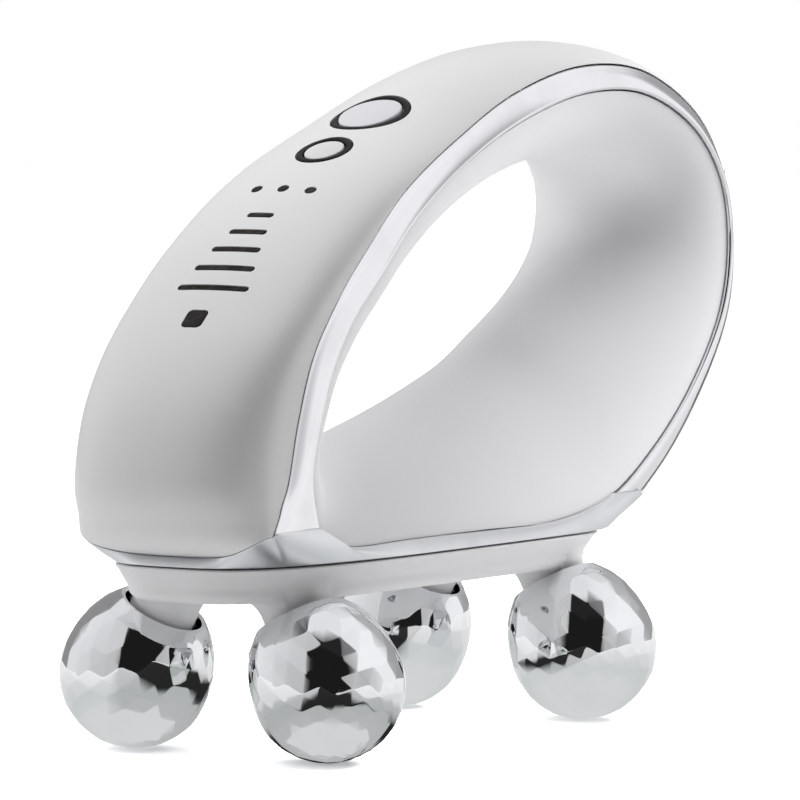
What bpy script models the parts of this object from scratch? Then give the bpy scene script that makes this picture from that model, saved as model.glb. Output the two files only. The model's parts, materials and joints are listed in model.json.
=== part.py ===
"""Handheld body massager with a finger loop, two buttons and four faceted rollers.

The body is a ring: a white outer cover and a pale inner liner, held together by two bright side
trims. A bright bezel and a white pan close it below. Four necks on the pan carry splayed axles,
and a faceted egg-shaped roller turns freely on each. Lengths are metres, +Z is up, the control
panel faces -X, and the origin is on the floor under the middle of the body.
"""

import math
from dataclasses import dataclass

import bmesh
import bpy
import numpy as np
from mathutils import Matrix, Vector

# Driving sizes of the ring
LOOP_LENGTH = 0.1384
LOOP_HEIGHT = 0.0770
LOOP_HALF_WIDTH = 0.0203
COVER_STEP = 0.0006
COVER_HALF_WIDTH = LOOP_HALF_WIDTH - COVER_STEP
FIT_GAP = 0.0003
OVERRUN = 0.0010

# Walls
COVER_WALL = 0.0018
LINER_WALL = 0.0015
BEZEL_WALL = 0.0022
PAN_WALL = 0.0018

# Side trims
TRIM_DEPTH = 0.0036
TRIM_PROUD = 0.0005
TRIM_EDGE_ROUND = 0.0008

# Roller shells
WHEEL_HALF_BASE = 0.0414
ROLLER_RADIUS = 0.0130
ROLLER_SPLAY = math.radians(28.0)
ROLLER_WALL = 0.0016
ROLLER_RIM_HEIGHT = 0.0134
ROLLER_RIM_RADIUS = 0.0079
ROLLER_LIP = 0.0008
ROLLER_MOUTH_RADIUS = ROLLER_RIM_RADIUS - ROLLER_LIP
RIM_TOP_Z = (ROLLER_RADIUS + ROLLER_RIM_HEIGHT * math.cos(ROLLER_SPLAY)
             + ROLLER_RIM_RADIUS * math.sin(ROLLER_SPLAY))
RIM_SIDE_REACH = (ROLLER_RIM_RADIUS * math.cos(ROLLER_SPLAY)
                  - ROLLER_RIM_HEIGHT * math.sin(ROLLER_SPLAY))

# Base: bezel and pan, upwards from the rollers' rims
PAN_DIP = 0.00094
PAN_BOTTOM_Z = RIM_TOP_Z - PAN_DIP
PAN_DEPTH = 0.0065
BASE_SEAM_Z = PAN_BOTTOM_Z + PAN_DEPTH
SEAM_TO_LOOP = 0.0026
LOOP_FLOOR_Z = BASE_SEAM_Z + SEAM_TO_LOOP
JOINT_CENTRE_RISE = 0.0017
JOINT_SIDE_RISE = 0.0064
SHOULDER_RISE = 0.0079
JOINT_CENTRE_Z = BASE_SEAM_Z + JOINT_CENTRE_RISE
JOINT_SIDE_Z = BASE_SEAM_Z + JOINT_SIDE_RISE
SHOULDER_Z = BASE_SEAM_Z + SHOULDER_RISE
BASE_FRONT = 0.0609
BASE_REAR = 0.0570
BASE_FLARE = 0.0016
BASE_HALF_WIDTH = LOOP_HALF_WIDTH + BASE_FLARE
OVERHANG_FRONT = 0.0071
OVERHANG_REAR = 0.0155
SHOULDER_FRONT = BASE_FRONT + OVERHANG_FRONT
SHOULDER_REAR = BASE_REAR + OVERHANG_REAR
SHOULDER_HALF_WIDTH = LOOP_HALF_WIDTH + FIT_GAP
PAN_REAR_STEP = 0.0040
PAN_REAR = BASE_REAR - PAN_REAR_STEP
PAN_DRAW_FRONT = 0.0040
PAN_DRAW_REAR = 0.0046
PAN_DRAW_SIDE = 0.0048
PAN_FLOOR_FRONT = BASE_FRONT - PAN_DRAW_FRONT
PAN_FLOOR_REAR = PAN_REAR - PAN_DRAW_REAR
PAN_FLOOR_HALF_WIDTH = BASE_HALF_WIDTH - PAN_DRAW_SIDE
PAN_EDGE_ROUND = 0.0024

# Necks, axles and bearings
RIM_OUTSET = 0.0040
WHEEL_HALF_TRACK = PAN_FLOOR_HALF_WIDTH + RIM_OUTSET - RIM_SIDE_REACH
NECK_SIDE_GAP = 0.0012
NECK_RADIUS = ROLLER_MOUTH_RADIUS - NECK_SIDE_GAP
NECK_REACH = 0.0030
NECK_TIP_HEIGHT = ROLLER_RIM_HEIGHT - NECK_REACH
NECK_BORE_DEPTH = 0.0070
NECK_FLARE = 0.0019
NECK_ROOT_INSET = 0.0014
NECK_ROOT_RISE = 0.0032
NECK_FLARE_POWER = 2.0
AXLE_RADIUS = 0.0020
AXLE_END_GAP = 0.0006
AXLE_NOSE = 0.0036
AXLE_GROOVE_DEPTH = 0.0005
HUB_WALL = 0.0012
HUB_FLANGE_THICKNESS = 0.0014
HUB_FLOOR = 0.0012
HUB_END_GAP = 0.0006
HUB_MOUTH_GAP = 0.00045
BUSH_WALL = 0.0012
CLIP_THICKNESS = 0.0008
CLIP_REACH = 0.0011
CLIP_BORE_GAP = 0.0002

# Control panel
POWER_RING_RADIUS = 0.0074
MODE_RING_RADIUS = 0.0052
RING_WALL = 0.0012
RING_HEIGHT = 0.0032
RING_LIP_HEIGHT = 0.0014
CAP_FLANGE_REACH = 0.0005
CAP_FLANGE_THICKNESS = 0.0008
CAP_CROWN = 0.0006
CAP_PROUD = 0.0003
CAP_STEM_RADIUS = 0.0016
CAP_TRAVEL = 0.0004
DOME_SHARES = (0.0, 0.4, 0.7, 0.9)
PANEL_BOARD_DEPTH = 0.0070
BOARD_THICKNESS = 0.0012
PANEL_BOARD_LENGTH = 0.0300
PANEL_BOARD_WIDTH = 0.0180
SWITCH_SIDE = 0.0052
SWITCH_HEIGHT = 0.0016
SWITCH_PLUNGER_RADIUS = 0.0012
SWITCH_PLUNGER_HEIGHT = 0.0008
DOT_DIAMETER = 0.0022
DOT_PITCH = 0.0058
BAR_THICKNESS = 0.0012
BAR_SHORT = 0.0055
BAR_LONG = 0.0150
LAMP_SIDE = 0.0040
LAMP_CORNER = 0.0009
LIGHT_BACK_GAP = 0.00045
LAMP_BOARD_DEPTH = 0.0052
LAMP_BOARD_LENGTH = 0.0290
LAMP_BOARD_WIDTH = 0.0180

# Parts inside the base
SCREW_HALF_BASE = 0.0220
SCREW_INSET = 0.0087
SCREW_HALF_TRACK = BASE_HALF_WIDTH - SCREW_INSET
SCREW_SHANK_RADIUS = 0.0010
SCREW_HEAD_RADIUS = 0.0019
SCREW_HEAD_HEIGHT = 0.0013
SCREW_BOSS_RADIUS = 0.0030
SCREW_SINK = 0.0016
LUG_THICKNESS = 0.0020
DRIVER_BOARD_RISE = 0.0009
DRIVER_BOARD_Z = BASE_SEAM_Z + DRIVER_BOARD_RISE
DRIVER_BOARD_LENGTH = 0.0800
DRIVER_BOARD_WIDTH = 2 * (SCREW_HALF_TRACK - SCREW_BOSS_RADIUS - FIT_GAP)
BATTERY_LENGTH = 0.0360
BATTERY_WIDTH = 0.0180
BATTERY_HEIGHT = 0.0075
BATTERY_CORNER = 0.0020
BOSS_SINK = 0.0008
POST_RADIUS = 0.0024
POST_PITCH = 0.0600
TRANSDUCER_RADIUS = 0.0095
TRANSDUCER_THICKNESS = 0.0022
JACK_RADIUS = 0.0030
JACK_BORE_RADIUS = 0.0018
JACK_LENGTH = 0.0085
JACK_FLANGE_REACH = 0.0010
JACK_FLANGE_THICKNESS = 0.0010
JACK_RISE = 0.0138
JACK_Z = LOOP_FLOOR_Z + JACK_RISE

# Mesh fineness
STEPS_PER_SPAN = 2
GUIDE_STEPS = 16
COVER_ROWS = 10
LINER_ROWS = 8
ROLLER_COLUMNS = 18
ROLLER_BELTS = 8
CAVITY_BELTS = 3
NECK_BELTS = 4
ROUND_STEPS = 16
BUTTON_STEPS = 24
PIN_STEPS = 12
SCREW_STEPS = 8
OUTLINE_STEPS = 28
CORNER_STEPS = 2
SHARP_ANGLE = math.radians(35.0)
MERGE_DISTANCE = 0.00001

# Where the controls sit, along the loop's length from the wheelbase centre
POWER_SHARE = 0.018
MODE_SHARE = -0.088
DOT_ROW_SHARE = -0.181
BAR_SHARES = (-0.231, -0.258, -0.284, -0.309, -0.334)
LAMP_SHARE = -0.372
PANEL_STATIONS = (2, 11)
JACK_STATIONS = (14, 18)
COVER_SPLIT_STATION = 13
COVER_FIRST_STATION = -0.5
COVER_LAST_STATION = 18.5

# Guide stations round the ring, as shares of the loop's length and height: trim's inner edge,
# liner crest, trim's outer edge, cover crest, then how square the cover's cross-section is.
RING_SHARES = (
    (-0.308, 0.030, -0.214, 0.198, -0.410, 0.012, -0.452, 0.001, 0.30),
    (-0.326, 0.093, -0.224, 0.230, -0.400, 0.088, -0.487, 0.082, 0.55),
    (-0.331, 0.177, -0.220, 0.270, -0.380, 0.161, -0.494, 0.177, 0.85),
    (-0.316, 0.272, -0.204, 0.314, -0.359, 0.293, -0.469, 0.314, 1.00),
    (-0.289, 0.388, -0.176, 0.369, -0.329, 0.423, -0.420, 0.434, 1.00),
    (-0.247, 0.492, -0.135, 0.434, -0.277, 0.542, -0.349, 0.557, 0.90),
    (-0.182, 0.594, -0.088, 0.504, -0.203, 0.666, -0.261, 0.696, 0.60),
    (-0.094, 0.728, -0.018, 0.591, -0.113, 0.797, -0.147, 0.829, 0.30),
    (0.018, 0.844, 0.073, 0.681, 0.004, 0.908, -0.012, 0.939, 0.15),
    (0.153, 0.939, 0.191, 0.764, 0.142, 1.011, 0.134, 1.044, 0.10),
    (0.305, 1.000, 0.308, 0.821, 0.302, 1.070, 0.301, 1.108, 0.10),
    (0.446, 0.998, 0.411, 0.838, 0.454, 1.056, 0.465, 1.112, 0.15),
    (0.570, 0.920, 0.482, 0.804, 0.590, 0.953, 0.617, 1.016, 0.20),
    (0.646, 0.795, 0.517, 0.743, 0.665, 0.800, 0.713, 0.847, 0.30),
    (0.669, 0.636, 0.508, 0.657, 0.691, 0.626, 0.746, 0.620, 0.30),
    (0.649, 0.467, 0.458, 0.589, 0.675, 0.451, 0.722, 0.409, 0.30),
    (0.575, 0.293, 0.388, 0.515, 0.600, 0.262, 0.628, 0.214, 0.30),
    (0.476, 0.148, 0.311, 0.447, 0.496, 0.095, 0.511, 0.051, 0.30),
    (0.364, 0.042, 0.241, 0.384, 0.382, -0.011, 0.388, -0.110, 0.30),
    (0.223, 0.000, 0.159, 0.331, 0.223, -0.034, 0.223, -0.034, 0.30),
    (0.059, 0.000, 0.041, 0.267, 0.059, -0.034, 0.059, -0.034, 0.30),
    (-0.106, 0.000, -0.082, 0.214, -0.106, -0.034, -0.106, -0.034, 0.30),
    (-0.247, 0.000, -0.176, 0.186, -0.305, -0.034, -0.305, -0.034, 0.60),
)
LINER_FULLNESS = 1.55
SQUARE_FLAT_GAIN = 1.4
SQUARE_EDGE_GAIN = 2.2
CORNER_LIMIT_SHARE = 0.49
JOINT_ROUNDNESS = 3.7
FRONT_ROUNDNESS = 4.0
REAR_ROUNDNESS = 6.0
SHOULDER_ROUNDNESS = 6.0

PARTS = "body_massager"
CUTTERS = "cutters"


@dataclass(frozen=True)
class Finish:
    """Colour, roughness and metallic value of one material."""

    name: str
    colour: tuple[float, float, float]
    roughness: float
    metallic: float = 0.0


WHITE_SHELL = Finish("white_shell", (0.88, 0.88, 0.89), 0.32)
SATIN_LINER = Finish("satin_liner", (0.74, 0.74, 0.75), 0.45)
BRIGHT_CHROME = Finish("bright_chrome", (0.86, 0.87, 0.88), 0.06, 1.0)
DARK_PLASTIC = Finish("dark_plastic", (0.03, 0.03, 0.035), 0.40)
PALE_CAP = Finish("pale_cap", (0.86, 0.84, 0.88), 0.35)
LAMP_TINT = Finish("lamp_tint", (0.04, 0.04, 0.035), 0.30)
HUB_RESIN = Finish("hub_resin", (0.22, 0.22, 0.23), 0.50)
BUSH_RESIN = Finish("bush_resin", (0.80, 0.78, 0.72), 0.50)
STEEL = Finish("steel", (0.62, 0.62, 0.64), 0.28, 1.0)
CIRCUIT_BOARD = Finish("circuit_board", (0.02, 0.16, 0.07), 0.45)
CELL_WRAP = Finish("cell_wrap", (0.10, 0.22, 0.50), 0.40)
CERAMIC = Finish("ceramic", (0.70, 0.66, 0.55), 0.55)


def clear_scene() -> None:
    """Remove every object of the open file and make the two collections."""
    for item in list(bpy.data.objects):
        bpy.data.objects.remove(item, do_unlink=True)
    for name in (PARTS, CUTTERS):
        old = bpy.data.collections.get(name)
        if old is not None:
            bpy.data.collections.remove(old)
        bpy.context.scene.collection.children.link(bpy.data.collections.new(name))


def material_for(finish: Finish) -> bpy.types.Material:
    """Return the Principled material of a finish, made on first use."""
    found = bpy.data.materials.get(finish.name)
    if found is not None:
        return found
    made = bpy.data.materials.new(finish.name)
    made.use_nodes = True
    shader = made.node_tree.nodes["Principled BSDF"]
    shader.inputs["Base Color"].default_value = (*finish.colour, 1.0)
    shader.inputs["Roughness"].default_value = finish.roughness
    shader.inputs["Metallic"].default_value = finish.metallic
    made.diffuse_color = (*finish.colour, 1.0)
    return made


def add_object(name: str, mesh: bmesh.types.BMesh, finish: Finish | None, smooth: bool = True,
               parent: bpy.types.Object | None = None) -> bpy.types.Object:
    """Store a bmesh as a named object, in the parts or, without a finish, with the cutters."""
    data = bpy.data.meshes.new(name)
    mesh.to_mesh(data)
    mesh.free()
    item = bpy.data.objects.new(name, data)
    if finish is None:
        bpy.data.collections[CUTTERS].objects.link(item)
        item.hide_render = True
        item.display_type = "WIRE"
    else:
        bpy.data.collections[PARTS].objects.link(item)
        data.materials.append(material_for(finish))
        if smooth:
            data.shade_smooth()
            data.set_sharp_from_angle(angle=SHARP_ANGLE)
    item.parent = parent
    return item


def empty_frame(name: str, matrix: Matrix, parent: bpy.types.Object | None) -> bpy.types.Object:
    """Add an empty that carries other objects."""
    frame = bpy.data.objects.new(name, None)
    bpy.data.collections[PARTS].objects.link(frame)
    frame.parent = parent
    frame.matrix_local = matrix
    return frame


def boolean(item: bpy.types.Object, other: bpy.types.Object, operation: str,
            solver: str = "EXACT") -> None:
    """Add a Boolean of another object to an item."""
    step = item.modifiers.new(f"{operation.lower()}_{other.name}", "BOOLEAN")
    step.operation = operation
    step.solver = solver
    step.object = other


def cut(item: bpy.types.Object, *cutters: bpy.types.Object) -> None:
    """Cut an item by each cutter."""
    for cutter in cutters:
        boolean(item, cutter, "DIFFERENCE")


def join(item: bpy.types.Object, *additions: bpy.types.Object) -> None:
    """Unite an item with helper solids kept among the cutters."""
    for addition in additions:
        boolean(item, addition, "UNION")


def turned(name: str, profile: list[tuple[float, float]], finish: Finish | None,
           parent: bpy.types.Object | None = None, steps: int = ROUND_STEPS,
           ring: bool = False) -> bpy.types.Object:
    """Turn a profile of (radius, height) points about Z with a Screw modifier.

    Args:
        name: Object name.
        profile: Points down the outer side, top to bottom; a ring's profile goes on up its bore.
        finish: Material, or None for a cutter.
        parent: Frame that carries the piece.
        steps: Facets round the axis.
        ring: True when the profile is a closed loop clear of the axis.

    Returns:
        The new object.
    """
    mesh = bmesh.new()
    points = [mesh.verts.new((radius, 0.0, height)) for radius, height in profile]
    for first, second in zip(points, points[1:]):
        mesh.edges.new((first, second))
    if ring:
        mesh.edges.new((points[-1], points[0]))
    item = add_object(name, mesh, finish, smooth=False, parent=parent)
    screw = item.modifiers.new("turn", "SCREW")
    screw.angle = math.tau
    screw.steps = steps
    screw.render_steps = steps
    screw.use_merge_vertices = True
    screw.merge_threshold = MERGE_DISTANCE
    screw.use_smooth_shade = False
    return item


def closed_loft(rings: list[list[Vector]], cap_ends: bool) -> bmesh.types.BMesh:
    """Return a closed solid through rings of points, capped or joined end to end."""
    mesh = bmesh.new()
    verts = [[mesh.verts.new(point) for point in ring] for ring in rings]
    count = len(verts[0])
    pairs = list(zip(verts, verts[1:]))
    if not cap_ends:
        pairs.append((verts[-1], verts[0]))
    for lower, upper in pairs:
        for index in range(count):
            after = (index + 1) % count
            mesh.faces.new((lower[index], lower[after], upper[after], upper[index]))
    if cap_ends:
        mesh.faces.new(list(reversed(verts[0])))
        mesh.faces.new(verts[-1])
    bmesh.ops.recalc_face_normals(mesh, faces=mesh.faces)
    return mesh


def block_mesh(size: tuple[float, float, float], corner: float = 0.0) -> bmesh.types.BMesh:
    """Return a box about its centre, with its upright edges rounded by the corner radius."""
    mesh = bmesh.new()
    bmesh.ops.create_cube(mesh, size=1.0, matrix=Matrix.Diagonal((*size, 1.0)))
    if corner > 0.0:
        upright = [edge for edge in mesh.edges
                   if abs(edge.verts[0].co.z - edge.verts[1].co.z) > size[2] / 2]
        bmesh.ops.bevel(mesh, geom=upright, offset=corner, segments=CORNER_STEPS,
                        affect="EDGES", profile=0.5, clamp_overlap=True)
    return mesh


def cylinder_mesh(radius: float, height: float, steps: int = ROUND_STEPS) -> bmesh.types.BMesh:
    """Return a closed cylinder about its centre, along Z."""
    mesh = bmesh.new()
    bmesh.ops.create_cone(mesh, cap_ends=True, segments=steps, radius1=radius, radius2=radius,
                          depth=height)
    return mesh


def spline_rows(table: tuple, steps: int) -> np.ndarray:
    """Return a closed centripetal spline through the rows of a table."""
    knots = np.array(table, dtype=float)
    count = len(knots)
    rows = []
    for index in range(count):
        before, start, end, after = (knots[(index + shift) % count] for shift in (-1, 0, 1, 2))
        gaps = [max(float(np.linalg.norm(second - first)), 1e-6) ** 0.5
                for first, second in ((before, start), (start, end), (end, after))]
        leave = gaps[1] * ((end - start) / gaps[1] - (end - before) / (gaps[0] + gaps[1])
                           + (start - before) / gaps[0])
        arrive = gaps[1] * ((after - end) / gaps[2] - (after - start) / (gaps[1] + gaps[2])
                            + (end - start) / gaps[1])
        for step in range(steps):
            share = step / steps
            cubic = 2 * start - 2 * end + leave + arrive
            square = -3 * start + 3 * end - 2 * leave - arrive
            rows.append(((cubic * share + square) * share + leave) * share + start)
    return np.array(rows)


class Ring:
    """The guide curves of the ring, sampled at matched stations."""

    def __init__(self, steps: int = STEPS_PER_SPAN) -> None:
        rows = spline_rows(RING_SHARES, steps)
        self.steps = steps
        self.count = len(rows)
        self.inner_rim = self.scaled(rows[:, 0:2])
        self.liner_crest = self.scaled(rows[:, 2:4])
        self.outer_rim = self.scaled(rows[:, 4:6])
        self.cover_crest = self.scaled(rows[:, 6:8])
        self.square = rows[:, 8]

    @staticmethod
    def scaled(shares: np.ndarray) -> np.ndarray:
        """Turn shares of the loop into places in the XZ plane."""
        return np.column_stack((shares[:, 0] * LOOP_LENGTH,
                                LOOP_FLOOR_Z + shares[:, 1] * LOOP_HEIGHT))

    def middle_x(self) -> float:
        """Return the middle of the body's length along X."""
        return (self.cover_crest[:, 0].min() + self.cover_crest[:, 0].max()) / 2

    def stations(self, first: float, last: float) -> list[int]:
        """Return sample numbers from one table station, or half station, to another."""
        start = round(first * self.steps)
        stop = round(last * self.steps)
        return [index % self.count for index in range(start, stop + 1)]

    def cover_section(self, index: int, shift: float = 0.0) -> list[Vector]:
        """Return the cover's closed cross-section: its crowned face and the back of its wall.

        Args:
            index: Sample number of the station.
            shift: How far the section is moved on along the ring.

        Returns:
            The points of the section, in order.
        """
        flat_power = 2.0 + SQUARE_FLAT_GAIN * self.square[index]
        edge_power = 1.0 + SQUARE_EDGE_GAIN * self.square[index]
        crown = self.cover_crest[index] - self.outer_rim[index]
        height = float(np.linalg.norm(crown))
        upward = crown / height
        face = []
        for across in spread(COVER_ROWS):
            rise = max(1.0 - abs(across) ** flat_power, 0.0) ** (1.0 / edge_power)
            face.append(Vector((across * COVER_HALF_WIDTH, height * rise)))
        back = []
        for number, point in enumerate(face):
            before = face[max(number - 1, 0)]
            after = face[min(number + 1, len(face) - 1)]
            run = (after - before).normalized()
            back.append(point + Vector((run.y, -run.x)) * COVER_WALL)
        onward = self.outer_rim[(index + 1) % self.count] - self.outer_rim[index - 1]
        origin = self.outer_rim[index] + onward / np.linalg.norm(onward) * shift
        points = []
        for lateral, rise in face + back[::-1]:
            place = origin + upward * rise
            points.append(Vector((place[0], lateral, place[1])))
        return points

    def liner_point(self, index: int, across: float, depth: float) -> Vector:
        """Return a point of the liner at a depth under its hand side; across runs from -1 to 1."""
        half_width = LOOP_HALF_WIDTH - FIT_GAP - depth
        crown = self.liner_crest[index] - self.inner_rim[index]
        crown = crown * (1.0 - depth / np.linalg.norm(crown))
        rise = max(1.0 - across * across, 0.0) ** (1.0 / LINER_FULLNESS)
        place = self.inner_rim[index] + crown * rise
        return Vector((place[0], across * half_width, place[1]))

    def liner_section(self, index: int) -> list[Vector]:
        """Return the liner's closed cross-section, across its hand side and back behind it."""
        places = spread(LINER_ROWS)
        face = [self.liner_point(index, across, 0.0) for across in places]
        back = [self.liner_point(index, across, LINER_WALL) for across in reversed(places)]
        return face + back

    def outward(self, index: int) -> np.ndarray:
        """Return the unit direction from the trim's inner edge to its outer edge."""
        step = self.outer_rim[index] - self.inner_rim[index]
        return step / np.linalg.norm(step)

    def crest_frame(self, share: float) -> Matrix:
        """Return a frame on the panel's crest: Z out of the panel, Y across, X down the slope."""
        fine = Ring(GUIDE_STEPS)
        target = share * LOOP_LENGTH
        span = range(PANEL_STATIONS[0] * GUIDE_STEPS, PANEL_STATIONS[1] * GUIDE_STEPS)
        index = min(span, key=lambda item: abs(fine.cover_crest[item, 0] - target))
        place = fine.cover_crest[index]
        run = fine.cover_crest[index - 1] - fine.cover_crest[index + 1]
        down = Vector((run[0], 0.0, run[1])).normalized()
        across = Vector((0.0, -1.0, 0.0))
        out = down.cross(across)
        turn = Matrix((down, across, out)).transposed().to_4x4()
        return Matrix.Translation((place[0], 0.0, place[1])) @ turn


def spread(count: int) -> list[float]:
    """Return places from -1 to 1 that crowd towards both edges."""
    half = count // 2
    return [math.sin(step / half * math.pi / 2) for step in range(-half, half + 1)]


def joint_height(across: float) -> float:
    """Return the height of the joint between cover and bezel at a place across the body."""
    share = abs(across) / SHOULDER_HALF_WIDTH
    return JOINT_CENTRE_Z + (JOINT_SIDE_Z - JOINT_CENTRE_Z) * share ** JOINT_ROUNDNESS


def joint_cutter(name: str, drop: float, upwards: bool) -> bpy.types.Object:
    """Return a cutter with the joint's curved face, below it or above it.

    Args:
        name: Object name.
        drop: How far the face lies under the joint.
        upwards: True to fill the space above the face, False to fill below.

    Returns:
        The cutter.
    """
    reach = LOOP_LENGTH
    half_width = BASE_HALF_WIDTH + OVERRUN
    far_z = LOOP_FLOOR_Z + LOOP_HEIGHT + LOOP_HEIGHT if upwards else -OVERRUN
    places = [half_width * (2 * step / OUTLINE_STEPS - 1) for step in range(OUTLINE_STEPS + 1)]
    rings = []
    for x_place in (-reach, reach):
        face = [Vector((x_place, y_place, joint_height(y_place) - drop)) for y_place in places]
        far = [Vector((x_place, half_width, far_z)), Vector((x_place, -half_width, far_z))]
        rings.append(face + far)
    return add_object(name, closed_loft(rings, cap_ends=True), None)


def rim_prism(ring: Ring, name: str, grow: float) -> bpy.types.Object:
    """Return a prism along Y with the outline of the liner's edge, grown outwards."""
    reach = BASE_HALF_WIDTH + OVERRUN
    rings = []
    for y_place in (-reach, reach):
        outline = []
        for index in range(ring.count):
            place = ring.inner_rim[index] + ring.outward(index) * grow
            outline.append(Vector((place[0], y_place, place[1])))
        rings.append(outline)
    return add_object(name, closed_loft(rings, cap_ends=True), None)


@dataclass(frozen=True)
class Plan:
    """A closed rounded outline seen from above, with unlike front and rear ends."""

    front: float
    rear: float
    half_width: float
    height: float
    front_roundness: float = FRONT_ROUNDNESS

    def outline(self, inset: float = 0.0, lift: float = 0.0) -> list[Vector]:
        """Return the outline's points, drawn in by the inset and raised by the lift."""
        points = []
        for step in range(OUTLINE_STEPS):
            angle = math.tau * (step + 0.5) / OUTLINE_STEPS
            ahead = math.cos(angle) < 0.0
            roundness = self.front_roundness if ahead else REAR_ROUNDNESS
            reach = (self.front if ahead else self.rear) - inset
            along = math.copysign(abs(math.cos(angle)) ** (2.0 / roundness), math.cos(angle))
            across = math.copysign(abs(math.sin(angle)) ** (2.0 / roundness), math.sin(angle))
            points.append(Vector((along * reach, across * (self.half_width - inset),
                                  self.height + lift)))
        return points


def make_cover(ring: Ring, name: str, first: float, last: float,
               shift: float) -> bpy.types.Object:
    """Loft one part of the outer cover between two stations, its first section moved on."""
    numbers = ring.stations(first, last)
    sections = [ring.cover_section(numbers[0], shift)]
    sections += [ring.cover_section(index) for index in numbers[1:]]
    return add_object(name, closed_loft(sections, cap_ends=True), WHITE_SHELL)


def make_liner(ring: Ring) -> bpy.types.Object:
    """Loft the liner that surrounds the fingers."""
    sections = [ring.liner_section(index) for index in range(ring.count)]
    return add_object("inner_liner", closed_loft(sections, cap_ends=False), SATIN_LINER)


def trim_section(ring: Ring, index: int, side: float) -> list[Vector]:
    """Return the trim's cross-section at a station: a rounded band with a seat for the cover."""
    inner = ring.inner_rim[index]
    outward = ring.outward(index)
    width = float(np.linalg.norm(ring.outer_rim[index] - inner))
    face = LOOP_HALF_WIDTH + TRIM_PROUD
    back = LOOP_HALF_WIDTH - TRIM_DEPTH
    seat = COVER_HALF_WIDTH + FIT_GAP
    shelf = width - COVER_WALL - FIT_GAP
    outline = [
        (FIT_GAP, face - TRIM_EDGE_ROUND),
        (FIT_GAP + TRIM_EDGE_ROUND, face),
        (width - 2 * TRIM_EDGE_ROUND, face),
        (width - TRIM_EDGE_ROUND / 2, face - TRIM_EDGE_ROUND / 2),
        (width - FIT_GAP, seat),
        (shelf, seat),
        (shelf, back),
        (FIT_GAP, back),
    ]
    points = []
    for radial, lateral in outline:
        place = inner + outward * radial
        points.append(Vector((place[0], side * lateral, place[1])))
    return points


def make_trim(ring: Ring, name: str, side: float, foot: bpy.types.Object) -> bpy.types.Object:
    """Sweep one bright side trim round the top of the ring and cut its feet to the joint."""
    numbers = ring.stations(COVER_FIRST_STATION, COVER_LAST_STATION)
    rings = [trim_section(ring, index, side) for index in numbers]
    item = add_object(name, closed_loft(rings, cap_ends=True), BRIGHT_CHROME)
    cut(item, foot)
    return item


def make_bezel(ring: Ring) -> bpy.types.Object:
    """Loft the bright ring between body and pan, with its lugs for the pan screws."""
    low = Plan(BASE_FRONT, BASE_REAR, BASE_HALF_WIDTH, BASE_SEAM_Z)
    high = Plan(SHOULDER_FRONT, SHOULDER_REAR, SHOULDER_HALF_WIDTH, SHOULDER_Z,
                SHOULDER_ROUNDNESS)
    middle = Plan((low.front + high.front) / 2, (low.rear + high.rear) / 2,
                  (low.half_width + high.half_width) / 2, (low.height + high.height) / 2,
                  (low.front_roundness + high.front_roundness) / 2)
    seat = Plan(BASE_FRONT, PAN_REAR, BASE_HALF_WIDTH, BASE_SEAM_Z)
    rings = [level.outline() for level in (low, middle, high)]
    inner = [level.outline(inset=BEZEL_WALL) for level in (high, middle, seat)]
    item = add_object("base_bezel", closed_loft(rings + inner, cap_ends=False), BRIGHT_CHROME)
    cut(item, joint_cutter("bezel_top_cutter", FIT_GAP, upwards=True),
        rim_prism(ring, "liner_room_cutter", FIT_GAP))
    lug_reach = BASE_HALF_WIDTH - BEZEL_WALL / 2 - SCREW_HALF_TRACK
    for x_side in (-1, 1):
        for y_side in (-1, 1):
            tag = f"{x_side + 1}{y_side + 1}"
            place = (x_side * SCREW_HALF_BASE, y_side * SCREW_HALF_TRACK,
                     BASE_SEAM_Z + LUG_THICKNESS / 2)
            pad = add_object(f"lug_pad_{tag}",
                             cylinder_mesh(SCREW_BOSS_RADIUS, LUG_THICKNESS, PIN_STEPS), None)
            pad.location = place
            arm = add_object(f"lug_arm_{tag}",
                             block_mesh((2 * SCREW_BOSS_RADIUS - OVERRUN, lug_reach,
                                         LUG_THICKNESS - FIT_GAP)), None)
            arm.location = (place[0], y_side * (SCREW_HALF_TRACK + lug_reach / 2), place[2])
            hole = add_object(f"lug_hole_{tag}",
                              cylinder_mesh(SCREW_SHANK_RADIUS + FIT_GAP, 2 * LUG_THICKNESS,
                                            SCREW_STEPS), None)
            hole.location = place
            join(item, pad, arm)
            cut(item, hole)
    return item


def neck_mesh(side: float) -> bmesh.types.BMesh:
    """Loft one neck from its round tip on the tilted axis to its flared root in the pan."""
    tilt = side * ROLLER_SPLAY
    axis = Vector((0.0, -math.sin(tilt), math.cos(tilt)))
    root_z = PAN_BOTTOM_Z + NECK_ROOT_RISE
    root_reach = (root_z - ROLLER_RADIUS) / math.cos(tilt)
    rings = []
    for belt in range(NECK_BELTS + 1):
        share = belt / NECK_BELTS
        reach = NECK_TIP_HEIGHT + (root_reach - NECK_TIP_HEIGHT) * share
        bend = share ** NECK_FLARE_POWER
        radius = NECK_RADIUS + NECK_FLARE * bend
        centre = Vector((0.0, side * WHEEL_HALF_TRACK, ROLLER_RADIUS)) + axis * reach
        centre.y -= side * NECK_ROOT_INSET * bend
        lean = Matrix.Rotation(tilt * (1.0 - bend), 3, "X")
        rings.append([centre + lean @ Vector((radius * math.cos(math.tau * step / ROUND_STEPS),
                                              radius * math.sin(math.tau * step / ROUND_STEPS),
                                              0.0)) for step in range(ROUND_STEPS)])
    return closed_loft(rings, cap_ends=True)


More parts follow.
